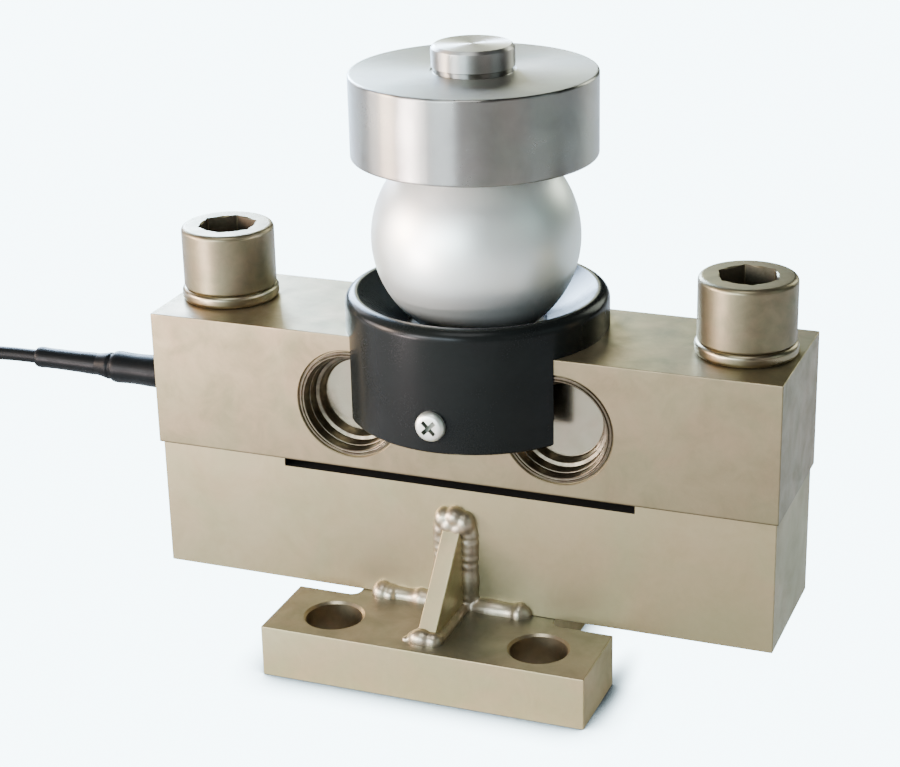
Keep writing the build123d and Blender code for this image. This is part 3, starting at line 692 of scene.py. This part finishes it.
# %% [markdown]
# # Coil ties and cores
# Three nylon ties hold the coil. Each is a strap round the section of the winding with a small locking
# head, so a block is hollowed out and the head and the strap's end are added. The cable ends in four thin
# cores for a junction box, with their ends bare. The cores are taken from the solid model as they are.

# %% Coil ties
def runs_across(middle, direction):
    """True for the four edges of a block that run along Y."""
    return abs(direction.y) > 0.002


def make_tie(angle):
    strap = round_picked(block("strap", (20.8, -1.8, 0.0), (41.2, 1.8, 29.6)), 2.4, 5, runs_across)
    inside = round_picked(block("inside", (21.8, -3.0, 1.0), (40.2, 3.0, 28.6)), 1.4, 5, runs_across)
    cut(strap, inside)
    head = block("head", (40.9, -2.8, 11.8), (44.8, 2.8, 17.8))
    cut(head, block("slot", (42.0, -1.9, 11.0), (43.2, 1.9, 18.5)))
    tongue = block("tongue", (42.1, -1.7, 9.5), (43.0, 1.7, 20.4))
    tie = join("tie", break_edges(strap, 0.25, 2), break_edges(head, 0.4, 2), break_edges(tongue, 0.25, 2))
    return place(smooth(tie, 30), (coil_centre[0], coil_centre[1], 0), (0, 0, angle))


ties = join("coil_ties_dressed", *[make_tie(angle) for angle in (40.0, 140.0, 240.0)])
print("ties have", len(ties.data.polygons), "faces")

# %% [markdown]
# # Places on the frame
# Every piece now rides on the solid model and hides the solids that it stands for. Nothing on this object
# moves, so all pieces ride on the same body. The cable stands for the solids of its lead, its coil and its
# tail, and its ties ride on the body as well.

# %% The object's pieces take their places
on_frame(plate, "plate_metal", "mounting_plate")
on_frame(base, "block_metal", "base_block")
on_frame(beam, "beam_metal", "load_cell_beam")
for name, piece in cups.items():
    on_frame(piece, "cup_metal", name)
on_frame(screws, "screw_metal", "clamp_screws")
on_frame(washers, "washer_metal", "lock_washers")
on_frame(ball, "ball_metal", "bearing_ball")
on_frame(cap, "cap_metal", "load_cap")
on_frame(retainer, "retainer_black", "ball_retainer")
on_frame(pan_screws, "pan_screw_zinc", "retainer_screws")
on_frame(front_gusset, "plate_metal", "front_gusset")
on_frame(rear_gusset, "plate_metal", "rear_gusset")
on_frame(weld, "weld_metal", "front_weld_beads")
on_frame(rear_weld, "weld_metal", "rear_weld_beads")
on_frame(entry_sleeve, "sleeve_black", "entry_sleeve")
on_frame(cable_sleeve, "sleeve_black", "cable_sleeve")
on_frame(cable, "cable_black", "cable_lead", "cable_coil", "cable_tail")
on_frame(ties, "tie_black", "coil_ties")

# %% [markdown]
# # Finishes
# Most of the cell is steel with a satin nickel plate, warm in tone and faintly clouded. That cloud, the
# fine lay of a ground face and the rings that a lathe leaves are effects that several materials share, so
# each is a node group that gives back a colour, a roughness or a height. A painted picture could not
# follow the pieces this closely, while noise that is read at the place on the object has no seams.

# %% Node helpers
def new_material(name):
    """A material with its tree, its shader and the place on the object that patterns are drawn over."""
    material = bpy.data.materials.new(name)
    material.use_nodes = True
    tree = material.node_tree
    shader = tree.nodes["Principled BSDF"]
    where = tree.nodes.new("ShaderNodeTexCoord")
    print("finish:", name)
    return material, tree, shader, where.outputs["Object"]


def add(tree, kind, **settings):
    """A node with its settings, and its inputs by name."""
    node = tree.nodes.new("ShaderNode" + kind)
    for key, value in settings.items():
        if key in node.inputs:
            node.inputs[key].default_value = value
        else:
            setattr(node, key, value)
    return node


def link(tree, start, end):
    tree.links.new(start, end)


def new_group(name, inputs, outputs):
    """An empty effect with its named inputs and outputs."""
    group = bpy.data.node_groups.new(name, "ShaderNodeTree")
    for title, kind, value in inputs:
        socket = group.interface.new_socket(name=title, in_out="INPUT", socket_type="NodeSocket" + kind)
        if value is not None:
            socket.default_value = value
    for title, kind in outputs:
        group.interface.new_socket(name=title, in_out="OUTPUT", socket_type="NodeSocket" + kind)
    print("effect:", name, "gives", ", ".join(title for title, kind in outputs))
    return group, group.nodes.new("NodeGroupInput"), group.nodes.new("NodeGroupOutput")


def use_group(tree, group, **values):
    node = tree.nodes.new("ShaderNodeGroup")
    node.node_tree = group
    for key, value in values.items():
        node.inputs[key.replace("_", " ")].default_value = value
    return node


def round_z(tree, where):
    """The distance of a place from the Z axis, and its height."""
    apart = add(tree, "SeparateXYZ")
    flat = add(tree, "CombineXYZ")
    distance = add(tree, "VectorMath", operation="LENGTH")
    link(tree, where, apart.inputs[0])
    link(tree, apart.outputs["X"], flat.inputs["X"])
    link(tree, apart.outputs["Y"], flat.inputs["Y"])
    link(tree, flat.outputs[0], distance.inputs[0])
    return distance.outputs["Value"], apart.outputs["Z"]

# %% [markdown]
# ## Clouded plate
# Plated steel is never even. A broad noise mixes a lighter and a darker tone and makes the dark one
# rougher, a slower noise shifts the hue a little from pink to green, and a very fine one gives the grain.

# %% Clouded plate
clouded, inside, outside = new_group(
    "clouded plate",
    [("Place", "Vector", None), ("Light", "Color", (0.6, 0.56, 0.5, 1)),
     ("Dark", "Color", (0.5, 0.46, 0.4, 1)), ("Smooth", "Float", 0.3), ("Rough", "Float", 0.42),
     ("Size", "Float", 60.0)],
    [("Colour", "Color"), ("Roughness", "Float"), ("Height", "Float")],
)
broad = add(clouded, "TexNoise", Detail=4.0, Roughness=0.6, Distortion=0.4)
fine = add(clouded, "TexNoise", Scale=2600.0, Detail=2.0, Roughness=0.6)
blend = add(clouded, "MapRange", **{"From Min": 0.32, "From Max": 0.68, "To Min": 0.0, "To Max": 1.0})
tint = add(clouded, "Mix", data_type="RGBA")
rough = add(clouded, "Mix", data_type="FLOAT")
grain = add(clouded, "Math", operation="MULTIPLY_ADD")
grain.inputs[1].default_value = 0.1
slow = add(clouded, "TexNoise", Detail=2.0, Roughness=0.5, Distortion=0.8)
slower = add(clouded, "Math", operation="MULTIPLY")
slower.inputs[1].default_value = 0.55
hue = add(clouded, "MapRange", **{"From Min": 0.35, "From Max": 0.65, "To Min": 0.0, "To Max": 1.0})
shift = add(clouded, "Mix", data_type="RGBA")
shift.inputs[6].default_value = (1.045, 0.985, 0.965, 1)
shift.inputs[7].default_value = (0.965, 1.005, 0.955, 1)
shifted = add(clouded, "Mix", data_type="RGBA", blend_type="MULTIPLY")
shifted.inputs[0].default_value = 1.0
link(clouded, inside.outputs["Place"], slow.inputs["Vector"])
link(clouded, inside.outputs["Size"], slower.inputs[0])
link(clouded, slower.outputs[0], slow.inputs["Scale"])
link(clouded, slow.outputs["Fac"], hue.inputs["Value"])
link(clouded, hue.outputs["Result"], shift.inputs[0])
link(clouded, tint.outputs[2], shifted.inputs[6])
link(clouded, shift.outputs[2], shifted.inputs[7])
link(clouded, inside.outputs["Place"], broad.inputs["Vector"])
link(clouded, inside.outputs["Size"], broad.inputs["Scale"])
link(clouded, inside.outputs["Place"], fine.inputs["Vector"])
link(clouded, broad.outputs["Fac"], blend.inputs["Value"])
link(clouded, blend.outputs["Result"], tint.inputs[0])
link(clouded, inside.outputs["Dark"], tint.inputs[6])
link(clouded, inside.outputs["Light"], tint.inputs[7])
link(clouded, blend.outputs["Result"], rough.inputs[0])
link(clouded, inside.outputs["Rough"], rough.inputs[2])
link(clouded, inside.outputs["Smooth"], rough.inputs[3])
link(clouded, fine.outputs["Fac"], grain.inputs[0])
link(clouded, rough.outputs[0], grain.inputs[2])
link(clouded, shifted.outputs[2], outside.inputs["Colour"])
link(clouded, grain.outputs[0], outside.inputs["Roughness"])
link(clouded, fine.outputs["Fac"], outside.inputs["Height"])

# %% [markdown]
# ## Turned rings and ground lay
# A lathe leaves rings and a grinder leaves straight lines. For rings the noise is read by the distance
# from the axis and the height, so it runs round the piece. For lines it is read much more closely upwards
# than sideways, so each speck is drawn out into a level line.

# %% Turned rings
turned_rings, inside, outside = new_group(
    "turned rings",
    [("Place", "Vector", None), ("Pitch", "Float", 9000.0)],
    [("Height", "Float")],
)
distance, height = round_z(turned_rings, inside.outputs["Place"])
rise = add(turned_rings, "CombineXYZ")
lines = add(turned_rings, "TexNoise", Detail=3.0, Roughness=0.7)
link(turned_rings, distance, rise.inputs["X"])
link(turned_rings, height, rise.inputs["Y"])
link(turned_rings, rise.outputs[0], lines.inputs["Vector"])
link(turned_rings, inside.outputs["Pitch"], lines.inputs["Scale"])
link(turned_rings, lines.outputs["Fac"], outside.inputs["Height"])

# %% Ground lay
ground_lay, inside, outside = new_group(
    "ground lay",
    [("Place", "Vector", None), ("Stretch", "Vector", (60.0, 3000.0, 3000.0))],
    [("Height", "Float")],
)
stretch = add(ground_lay, "VectorMath", operation="MULTIPLY")
lay = add(ground_lay, "TexNoise", Scale=1.0, Detail=3.0, Roughness=0.65)
link(ground_lay, inside.outputs["Place"], stretch.inputs[0])
link(ground_lay, inside.outputs["Stretch"], stretch.inputs[1])
link(ground_lay, stretch.outputs[0], lay.inputs["Vector"])
link(ground_lay, lay.outputs["Fac"], outside.inputs["Height"])

# %% [markdown]
# ## Satin nickel
# Nickel plate on milled steel takes the warm tone of the metal under it. One function makes it for each
# piece, with its own tone, so that the beam, the base and the screws differ as they do on the real cell.
# Places that are worked or plated differently have a finish of their own: the plate's bored holes, the weld
# metal, and the cups' floors and walls. The plate's upper face gets a darker copy of its nickel and the
# screws' sockets a dark one, both painted shade.

# %% Satin nickel
def cloud_over(tree, shader, where, light, dark, roughness, patches):
    """Cloud a finish with two tones and two roughness values, in so many patches per metre."""
    smooth_value, rough_value = roughness
    cloud = use_group(tree, clouded, Light=(*light, 1), Dark=(*dark, 1), Size=patches)
    cloud.inputs["Smooth"].default_value = smooth_value
    cloud.inputs["Rough"].default_value = rough_value
    link(tree, where, cloud.inputs["Place"])
    link(tree, cloud.outputs["Colour"], shader.inputs["Base Color"])
    link(tree, cloud.outputs["Roughness"], shader.inputs["Roughness"])
    return cloud


def nickel(name, light, dark, roughness, patches=55.0, lay=0.00002, metal=1.0):
    material, tree, shader, where = new_material(name)
    cloud = cloud_over(tree, shader, where, light, dark, roughness, patches)
    ground = use_group(tree, ground_lay, Stretch=(40.0, 40.0, 3200.0))
    bump = add(tree, "Bump", Strength=0.35, Distance=lay)
    grain = add(tree, "Bump", Strength=0.3, Distance=0.00003)
    shader.inputs["Metallic"].default_value = metal
    link(tree, where, ground.inputs["Place"])
    link(tree, ground.outputs["Height"], bump.inputs["Height"])
    link(tree, cloud.outputs["Height"], grain.inputs["Height"])
    link(tree, bump.outputs["Normal"], grain.inputs["Normal"])
    link(tree, grain.outputs["Normal"], shader.inputs["Normal"])
    return material

# %% [markdown]
# ## Beam, with painted shade
# Painted shade darkens the top of the beam round the ball's seat, where the ball and its black ring shade
# it, and a fine painted shade line stands in the joint between beam and base. Both are masks from the place
# on the beam, one by the distance from the ball's axis and one by the height, and both only darken the
# colour.

# %% Beam's nickel
beam_nickel = nickel("beam nickel", light=(0.300, 0.249, 0.156), dark=(0.216, 0.186, 0.113),
                     roughness=(0.34, 0.44), patches=95.0, metal=0.9)
tree = beam_nickel.node_tree
shader = tree.nodes["Principled BSDF"]
bare = shader.inputs["Base Color"].links[0].from_socket
distance, height = round_z(tree, tree.nodes["Texture Coordinate"].outputs["Object"])

# %% Painted shade in the joint
darkest_height, unshaded_height = 0.0604, 0.0612
# Painted shade: the beam's colour is darkened towards its bottom edge, where it sits on the base.
joint_shade_mask = add(tree, "MapRange", interpolation_type="SMOOTHSTEP",
           **{"From Min": darkest_height, "From Max": unshaded_height, "To Min": 0.35, "To Max": 1.0})
joint_shaded = add(tree, "VectorMath", operation="SCALE")
link(tree, height, joint_shade_mask.inputs["Value"])
link(tree, bare, joint_shaded.inputs[0])
link(tree, joint_shade_mask.outputs["Result"], joint_shaded.inputs["Scale"])

# %% Painted shade round the ball's seat
seat_shade_edge, seat_unshaded_edge = 0.0214, 0.0222
seat_shade_mask = add(tree, "MapRange", interpolation_type="SMOOTHSTEP",
              **{"From Min": seat_shade_edge, "From Max": seat_unshaded_edge})
# This near-black is painted shade on the beam's top round the ball, where the ball and its black ring shade
# it.
seat_shade = add(tree, "Mix", data_type="RGBA")
seat_shade.inputs[6].default_value = (0.012, 0.011, 0.010, 1)
link(tree, distance, seat_shade_mask.inputs["Value"])
link(tree, seat_shade_mask.outputs["Result"], seat_shade.inputs[0])
link(tree, joint_shaded.outputs[0], seat_shade.inputs[7])
link(tree, seat_shade.outputs[2], shader.inputs["Base Color"])

# %% Other nickel finishes
base_nickel = nickel("base nickel", light=(0.400, 0.350, 0.216), dark=(0.318, 0.282, 0.168),
                     roughness=(0.36, 0.46), patches=62.0, metal=0.9)
plate_nickel = nickel("plate nickel", light=(0.700, 0.625, 0.390), dark=(0.580, 0.515, 0.305),
                      roughness=(0.30, 0.40), patches=95.0, metal=0.9)
# A darker copy of the plate's nickel for its upper faces: painted shade.
plate_top_shaded_nickel = nickel("plate top nickel shaded copy", light=(0.262, 0.245, 0.200), dark=(0.200, 0.188, 0.152),
                          roughness=(0.30, 0.40), patches=90.0, metal=0.9)
screw_nickel = nickel("screw nickel", light=(0.250, 0.214, 0.136), dark=(0.190, 0.166, 0.106),
                      roughness=(0.30, 0.38), patches=160.0, lay=0.000008, metal=0.9)
bored_steel = nickel("bored steel", light=(0.430, 0.372, 0.265), dark=(0.360, 0.310, 0.215),
                     roughness=(0.26, 0.34), patches=120.0, lay=0.000001)
# A dark copy of the nickel for the hexagon sockets: painted shade.
socket_shade = nickel("socket painted shade", light=(0.150, 0.130, 0.095), dark=(0.100, 0.085, 0.060),
                      roughness=(0.42, 0.55), patches=300.0, lay=0.000001)
weld_nickel = nickel("weld nickel", light=(0.500, 0.440, 0.335), dark=(0.385, 0.338, 0.250),
                     roughness=(0.28, 0.40), patches=240.0, lay=0.000001, metal=0.92)
washer_nickel = nickel("washer nickel", light=(0.323, 0.281, 0.190), dark=(0.262, 0.229, 0.153),
                       roughness=(0.23, 0.31), patches=120.0, lay=0.000001)
cup_steel = nickel("cup steel", light=(0.500, 0.455, 0.345), dark=(0.430, 0.390, 0.290),
                   roughness=(0.12, 0.18), patches=140.0, lay=0.000001)
cup_wall_steel = nickel("cup wall steel", light=(0.175, 0.150, 0.108), dark=(0.100, 0.085, 0.062),
                        roughness=(0.24, 0.34), patches=420.0, lay=0.000001)

# %% [markdown]
# ## Turned stainless steel
# The cap's side has bright and dark bands that run up and down, because the lathe's fine rings spread
# each reflection along the axis. An anisotropic highlight, turned about the axis, gives that at once, and
# a ring-shaped bump adds the coarser tool marks. The side, the faced top and the spigot were each turned
# with another feed, so each has its own tone and spread.

# %% Turned stainless steel
def turned(name, light, dark, roughness, spread):
    material, tree, shader, where = new_material(name)
    rings = use_group(tree, turned_rings, Pitch=4200.0)
    cloud_over(tree, shader, where, light, dark, roughness, 60.0)
    bump = add(tree, "Bump", Strength=0.5, Distance=0.00002)
    tangent = add(tree, "Tangent", direction_type="RADIAL", axis="Z")
    shader.inputs["Metallic"].default_value = 1.0
    shader.inputs["Anisotropic"].default_value = spread
    shader.inputs["Anisotropic Rotation"].default_value = 0.25
    link(tree, where, rings.inputs["Place"])
    link(tree, rings.outputs["Height"], bump.inputs["Height"])
    link(tree, bump.outputs["Normal"], shader.inputs["Normal"])
    link(tree, tangent.outputs[0], shader.inputs["Tangent"])
    return material


cap_side_steel = turned("turned side", light=(0.380, 0.375, 0.358), dark=(0.310, 0.305, 0.290),
                        roughness=(0.23, 0.28), spread=0.95)
cap_top_steel = turned("faced top", light=(0.325, 0.325, 0.305), dark=(0.275, 0.275, 0.257),
                       roughness=(0.42, 0.48), spread=0.5)
spigot_steel = turned("turned spigot", light=(0.560, 0.560, 0.550), dark=(0.480, 0.480, 0.470),
                      roughness=(0.36, 0.42), spread=0.85)

# %% [markdown]
# ## Frosted ball
# The ball is hardened steel with a fine, even, almost white frost from barrelling. The same cloud serves,
# with two tones close together, and a little less than full metal lifts its shaded side as the frost does.

# %% Frosted ball
ball_steel, tree, shader, where = new_material("frosted steel")
cloud = cloud_over(tree, shader, where, (0.94, 0.975, 0.97), (0.90, 0.965, 0.955), (0.36, 0.39), 30.0)
bump = add(tree, "Bump", Strength=0.12, Distance=0.00003)
shader.inputs["Metallic"].default_value = 0.84
link(tree, cloud.outputs["Height"], bump.inputs["Height"])
link(tree, bump.outputs["Normal"], shader.inputs["Normal"])

# %% [markdown]
# ## Zinc screws
# The retainer's screws are zinc plated, whiter and brighter than nickel. The grey in their cross recess is
# painted shade.

# %% Zinc screws
# The grey in the cross recess is painted shade.
cross_shade = nickel("painted shade in the cross", light=(0.30, 0.32, 0.28), dark=(0.22, 0.24, 0.21),
                     roughness=(0.5, 0.6), patches=300.0, lay=0.000001)
pan_zinc = nickel("bright zinc", light=(0.84, 0.88, 0.83), dark=(0.74, 0.79, 0.74),
                  roughness=(0.34, 0.44), patches=300.0, lay=0.000001, metal=0.92)

# %% [markdown]
# ## Black finishes
# The retainer has a satin-gloss black coat over turned metal, and the sleeves and the cable are black
# polymer. Black things are judged by their highlights, so what matters is how rough each of them is.

# %% Black finishes
def black(name, light, dark, roughness, patches, grain, gloss=0.5):
    material, tree, shader, where = new_material(name)
    cloud = cloud_over(tree, shader, where, light, dark, roughness, patches)
    bump = add(tree, "Bump", Strength=grain, Distance=0.0001)
    shader.inputs["Specular IOR Level"].default_value = gloss
    link(tree, cloud.outputs["Height"], bump.inputs["Height"])
    link(tree, bump.outputs["Normal"], shader.inputs["Normal"])
    return material


retainer_coat = black("black coat", light=(0.0092, 0.0108, 0.0106), dark=(0.0068, 0.0082, 0.0080),
                      roughness=(0.17, 0.23), patches=60.0, grain=0.05, gloss=0.13)
sleeve_skin = black("shrunk sleeve", light=(0.0046, 0.0060, 0.0066), dark=(0.0024, 0.0032, 0.0036),
                    roughness=(0.28, 0.40), patches=120.0, grain=0.15, gloss=0.11)
cable_skin = black("cable jacket", light=(0.0046, 0.0060, 0.0066), dark=(0.0028, 0.0036, 0.0040),
                   roughness=(0.36, 0.46), patches=90.0, grain=0.12, gloss=0.10)
# The recess's near-black is painted shade in the slot under the beam.
recess_shade = black("recess painted shade", light=(0.010, 0.009, 0.008), dark=(0.006, 0.006, 0.005),
                     roughness=(0.50, 0.60), patches=200.0, grain=0.05)
tie_nylon = black("tie nylon", light=(0.03, 0.03, 0.032), dark=(0.02, 0.02, 0.022),
                  roughness=(0.32, 0.40), patches=200.0, grain=0.08)

# %% [markdown]
# ## Hidden pieces
# Inside the pockets are brown gauge film, a green solder board and pale insulated wires. They are plain
# non-metals, which the function for the black finishes makes as well with other tones.

# %% Hidden pieces
film = black("gauge film", light=(0.50, 0.36, 0.14), dark=(0.42, 0.30, 0.11),
             roughness=(0.25, 0.35), patches=400.0, grain=0.02)
board = black("solder board", light=(0.03, 0.20, 0.09), dark=(0.02, 0.14, 0.06),
              roughness=(0.30, 0.40), patches=300.0, grain=0.05)
wire_skin = black("wire insulation", light=(0.62, 0.60, 0.58), dark=(0.52, 0.50, 0.48),
                  roughness=(0.35, 0.45), patches=300.0, grain=0.05)

# %% [markdown]
# # Dressing the pieces
# Each piece gets its main finish, and then the faces that are worked differently get theirs. A face is
# picked by where its middle lies and which way it faces, as a painter would mask it.

# %% Main finishes
def dress(piece, material):
    piece.data.materials.clear()
    piece.data.materials.append(material)


for piece, material in (
    (plate, plate_nickel), (base, base_nickel), (beam, beam_nickel), (screws, screw_nickel),
    (washers, washer_nickel), (ball, ball_steel), (cap, cap_side_steel), (retainer, retainer_coat),
    (pan_screws, pan_zinc), (front_gusset, plate_nickel), (rear_gusset, plate_nickel), (weld, weld_nickel),
    (rear_weld, weld_nickel), (entry_sleeve, sleeve_skin), (cable_sleeve, sleeve_skin), (cable, cable_skin),
    (ties, tie_nylon),
):
    dress(piece, material)
for piece in cups.values():
    dress(piece, cup_steel)

# %% Cap and cup faces
def finish_faces(piece, material, test):
    """Give another finish to the faces whose middle (in mm) and normal pass the test."""
    piece.data.materials.append(material)
    index = len(piece.data.materials) - 1
    count = 0
    for face in piece.data.polygons:
        if test(face.center / MM, face.normal):
            face.material_index = index
            count += 1
    print(piece.name, "has", count, "faces of", material.name)


def from_axis(first, second):
    """How far a place is from an axis, from its two distances across."""
    return (first ** 2 + second ** 2) ** 0.5


spigot_foot = 186.9
finish_faces(cap, cap_top_steel, lambda at, normal: at.z <= spigot_foot and normal.z > 0.95)
finish_faces(cap, spigot_steel, lambda at, normal: at.z > spigot_foot)

cup_floor_radius = 11.8
for piece in cups.values():
    finish_faces(piece, cup_wall_steel,
                 lambda at, normal: from_axis(abs(at.x) - pocket_x, at.z - pocket_z) > cup_floor_radius)

# %% Plate and base faces
chamfer_reach = 9.9


def in_a_hole(at, normal):
    return from_axis(abs(at.x) - hole_x, abs(at.y) - hole_y) < chamfer_reach and abs(normal.z) < 0.9


def in_the_recess(at, normal):
    on_its_floor = abs(at.z - recess_floor) < 0.05 and abs(at.x) < recess_half_length + 0.1
    at_its_end = abs(abs(at.x) - recess_half_length) < 0.05 and at.z > recess_floor
    return on_its_floor or at_its_end


finish_faces(plate, bored_steel, in_a_hole)
# The plate's upper faces get the darker copy of its nickel as painted shade.
finish_faces(plate, plate_top_shaded_nickel, lambda at, normal: normal.z > 0.9)
# The base's recess faces are painted dark as shade.
finish_faces(base, recess_shade, in_the_recess)

# %% Screw recess faces
cross_reach, cross_floor, cross_rim = 3.2, 0.6, 2.45
socket_reach, socket_floor, socket_rim = 9.7, 11.0, 0.5


def in_the_cross(at, normal):
    height = abs(at.y) - pan_seat_y
    if from_axis(at.x, at.z - pan_screw_z) >= cross_reach:
        return False
    on_a_wall = 0.4 < height < cross_rim and abs(normal.y) < 0.5
    return on_a_wall or abs(height - cross_floor) < 0.05


def in_the_socket(at, normal):
    inside_the_rim = head_top - socket_floor < at.z < head_top - socket_rim
    return inside_the_rim and from_axis(abs(at.x) - clamp_x, at.y) < socket_reach


# The cross recess is painted grey as shade.
finish_faces(pan_screws, cross_shade, in_the_cross)
# The sockets' walls are painted dark as shade.
finish_faces(screws, socket_shade, in_the_socket)

# %% Solids that show as they are
solid_finishes = {"cable_entry": cable_skin, "cable_ferrule": washer_nickel, "terminal_board": board,
                  "inner_wires": wire_skin, "cable_cores": wire_skin}
for name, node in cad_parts.items():
    if name.startswith("strain_gauge"):
        solid_finishes[name] = film
for name, material in solid_finishes.items():
    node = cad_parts[name]
    for index in range(len(node.material_slots)):
        node.material_slots[index].material = material

# %% [markdown]
# # Studio
# A light tent is a ring of soft panels, and bright metal shows each of them. A row of low panels stands
# from the left side round to the front, the brightest of them at the left front. Four higher ones stand
# behind, where the top faces mirror them, with the brightest at the back left. Two faint ones fill the
# right side, one hangs high in front, and one lies on the floor at the left front, where the cap's side
# mirrors it. The floor looks almost white to the camera, while the metal mirrors it as a mid grey. Its glow
# is darkened by painted shade close to whatever stands on it and by a painted shadow behind the plate's
# right end, where the shade is deepest.

# %% Floor
let_go()
bpy.ops.mesh.primitive_plane_add(size=12.0)
floor = new_piece("floor")
floor_paint = bpy.data.materials.new("pale floor")
floor_paint.use_nodes = True
tree = floor_paint.node_tree
tree.nodes.remove(tree.nodes["Principled BSDF"])
floor.data.materials.append(floor_paint)

# %% What the metal sees of the floor
grey = add(tree, "BsdfDiffuse", Color=(0.62, 0.62, 0.62, 1))
faint_glow = add(tree, "Emission", Color=(1.0, 0.86, 0.79, 1), Strength=0.12)
mirrored = add(tree, "AddShader")
link(tree, grey.outputs[0], mirrored.inputs[0])
link(tree, faint_glow.outputs[0], mirrored.inputs[1])

# %% What the camera sees of the floor
dark_ground = add(tree, "BsdfDiffuse", Color=(0.03, 0.03, 0.03, 1))
white_glow = add(tree, "Emission", Color=(0.72, 0.92, 1.0, 1), Strength=10.0)
seen = add(tree, "AddShader")
link(tree, dark_ground.outputs[0], seen.inputs[0])
link(tree, white_glow.outputs[0], seen.inputs[1])

# %% Painted shadow behind the plate's right end
shade_middle, shade_reach = (53.0, -32.0), (8.0, 34.0)
where = add(tree, "TexCoord")
shrink = add(tree, "VectorMath", operation="MULTIPLY")
shrink.inputs[1].default_value = (1000 / shade_reach[0], 1000 / shade_reach[1], 1.0)
away = add(tree, "VectorMath", operation="DISTANCE")
away.inputs[1].default_value = (shade_middle[0] / shade_reach[0], shade_middle[1] / shade_reach[1], 0.0)
# Painted shadow: the floor's glow is dimmed behind the plate's right end.
floor_painted_shadow = add(tree, "MapRange", interpolation_type="SMOOTHSTEP",
              **{"From Min": 0.15, "From Max": 1.0, "To Min": 1.2, "To Max": 10.0})
link(tree, where.outputs["Object"], shrink.inputs[0])
link(tree, shrink.outputs[0], away.inputs[0])
link(tree, away.outputs["Value"], floor_painted_shadow.inputs["Value"])

# %% Painted shade close to what stands on the floor
# Painted shade: occlusion dims the floor's glow next to what stands on it.
open_sky = add(tree, "AmbientOcclusion", Distance=0.014, samples=8)
edge = add(tree, "MapRange", **{"From Min": 0.50, "From Max": 0.97, "To Min": 0.03, "To Max": 1.0})
shade = add(tree, "Math", operation="MULTIPLY")
link(tree, open_sky.outputs["AO"], edge.inputs["Value"])
link(tree, floor_painted_shadow.outputs["Result"], shade.inputs[0])
link(tree, edge.outputs["Result"], shade.inputs[1])
link(tree, shade.outputs[0], white_glow.inputs["Strength"])

# %% Floor for the camera and for everything else
which = add(tree, "LightPath")
mix = add(tree, "MixShader")
link(tree, which.outputs["Is Camera Ray"], mix.inputs[0])
link(tree, mirrored.outputs[0], mix.inputs[1])
link(tree, seen.outputs[0], mix.inputs[2])
link(tree, mix.outputs[0], tree.nodes["Material Output"].inputs["Surface"])
print("floor is", round(floor.dimensions.x, 1), "m wide")

# %% Lights
def softbox(name, place_m, aim_m, width, height, radiance, colour):
    """A rectangular light whose brightness is given as radiance, so its size can change freely."""
    bpy.ops.object.light_add(type="AREA", location=place_m)
    light = bpy.context.object
    light.name = light.data.name = name
    light.rotation_euler = (Vector(aim_m) - Vector(place_m)).to_track_quat("-Z", "Y").to_euler()
    light.data.shape = "RECTANGLE"
    light.data.size, light.data.size_y = width, height
    light.data.energy = radiance * pi * width * height
    light.data.color = colour
    print(name, "gives", round(light.data.energy, 2), "W")


def around(name, azimuth, elevation, width, height, radiance, colour, distance=1.3):
    """A softbox on a sphere round the object, facing it. Angles are in degrees."""
    a, e = radians(azimuth), radians(elevation)
    middle = Vector((0.0, 0.0, 0.09))
    outwards = Vector((cos(a) * cos(e), sin(a) * cos(e), sin(e)))
    softbox(name, middle + outwards * distance, middle, width, height, radiance, colour)

# %% The panels
let_go()
around("key", -152, 9, 0.36, 0.36, 58.0, (1.00, 0.76, 0.62))
around("key_side", -168, 9, 0.36, 0.36, 16.0, (1.00, 0.90, 0.90))
around("key_front", -136, 9, 0.36, 0.36, 5.3, (0.91, 0.95, 1.00))
around("front_left", -120, 9, 0.36, 0.36, 31.3, (0.98, 0.97, 1.00))
around("front_low", -98, 12, 0.50, 0.40, 16.5, (0.74, 0.89, 1.00))
around("front_high", -90, 62, 0.60, 0.60, 5.2, (0.98, 1.00, 1.00))
around("left_back", 154, 22, 0.45, 0.60, 6.2, (1.00, 0.95, 0.98))
around("back_left", 132, 22, 0.45, 0.60, 60.2, (0.55, 0.74, 1.00))
around("back", 112, 22, 0.45, 0.60, 4.75, (0.95, 1.00, 0.78))
around("back_right", 62, 22, 0.50, 0.60, 5.2, (0.93, 1.00, 0.86))
around("right", -5, 20, 0.60, 0.70, 0.82, (0.79, 0.99, 1.00))
around("right_front", -35, 20, 0.60, 0.70, 0.61, (1.00, 0.97, 0.94))
low_spot = Vector((-0.45, -0.52, 0.004))
softbox("low_panel", low_spot, low_spot + Vector((0, 0, 1)), 0.22, 0.22, 160.0, (1.00, 0.84, 0.84))

# %% The room
world = bpy.data.worlds.new("studio")
bpy.context.scene.world = world
world.use_nodes = True
world.node_tree.nodes["Background"].inputs["Color"].default_value = (0.93, 0.96, 1.0, 1)
world.node_tree.nodes["Background"].inputs["Strength"].default_value = 0.01
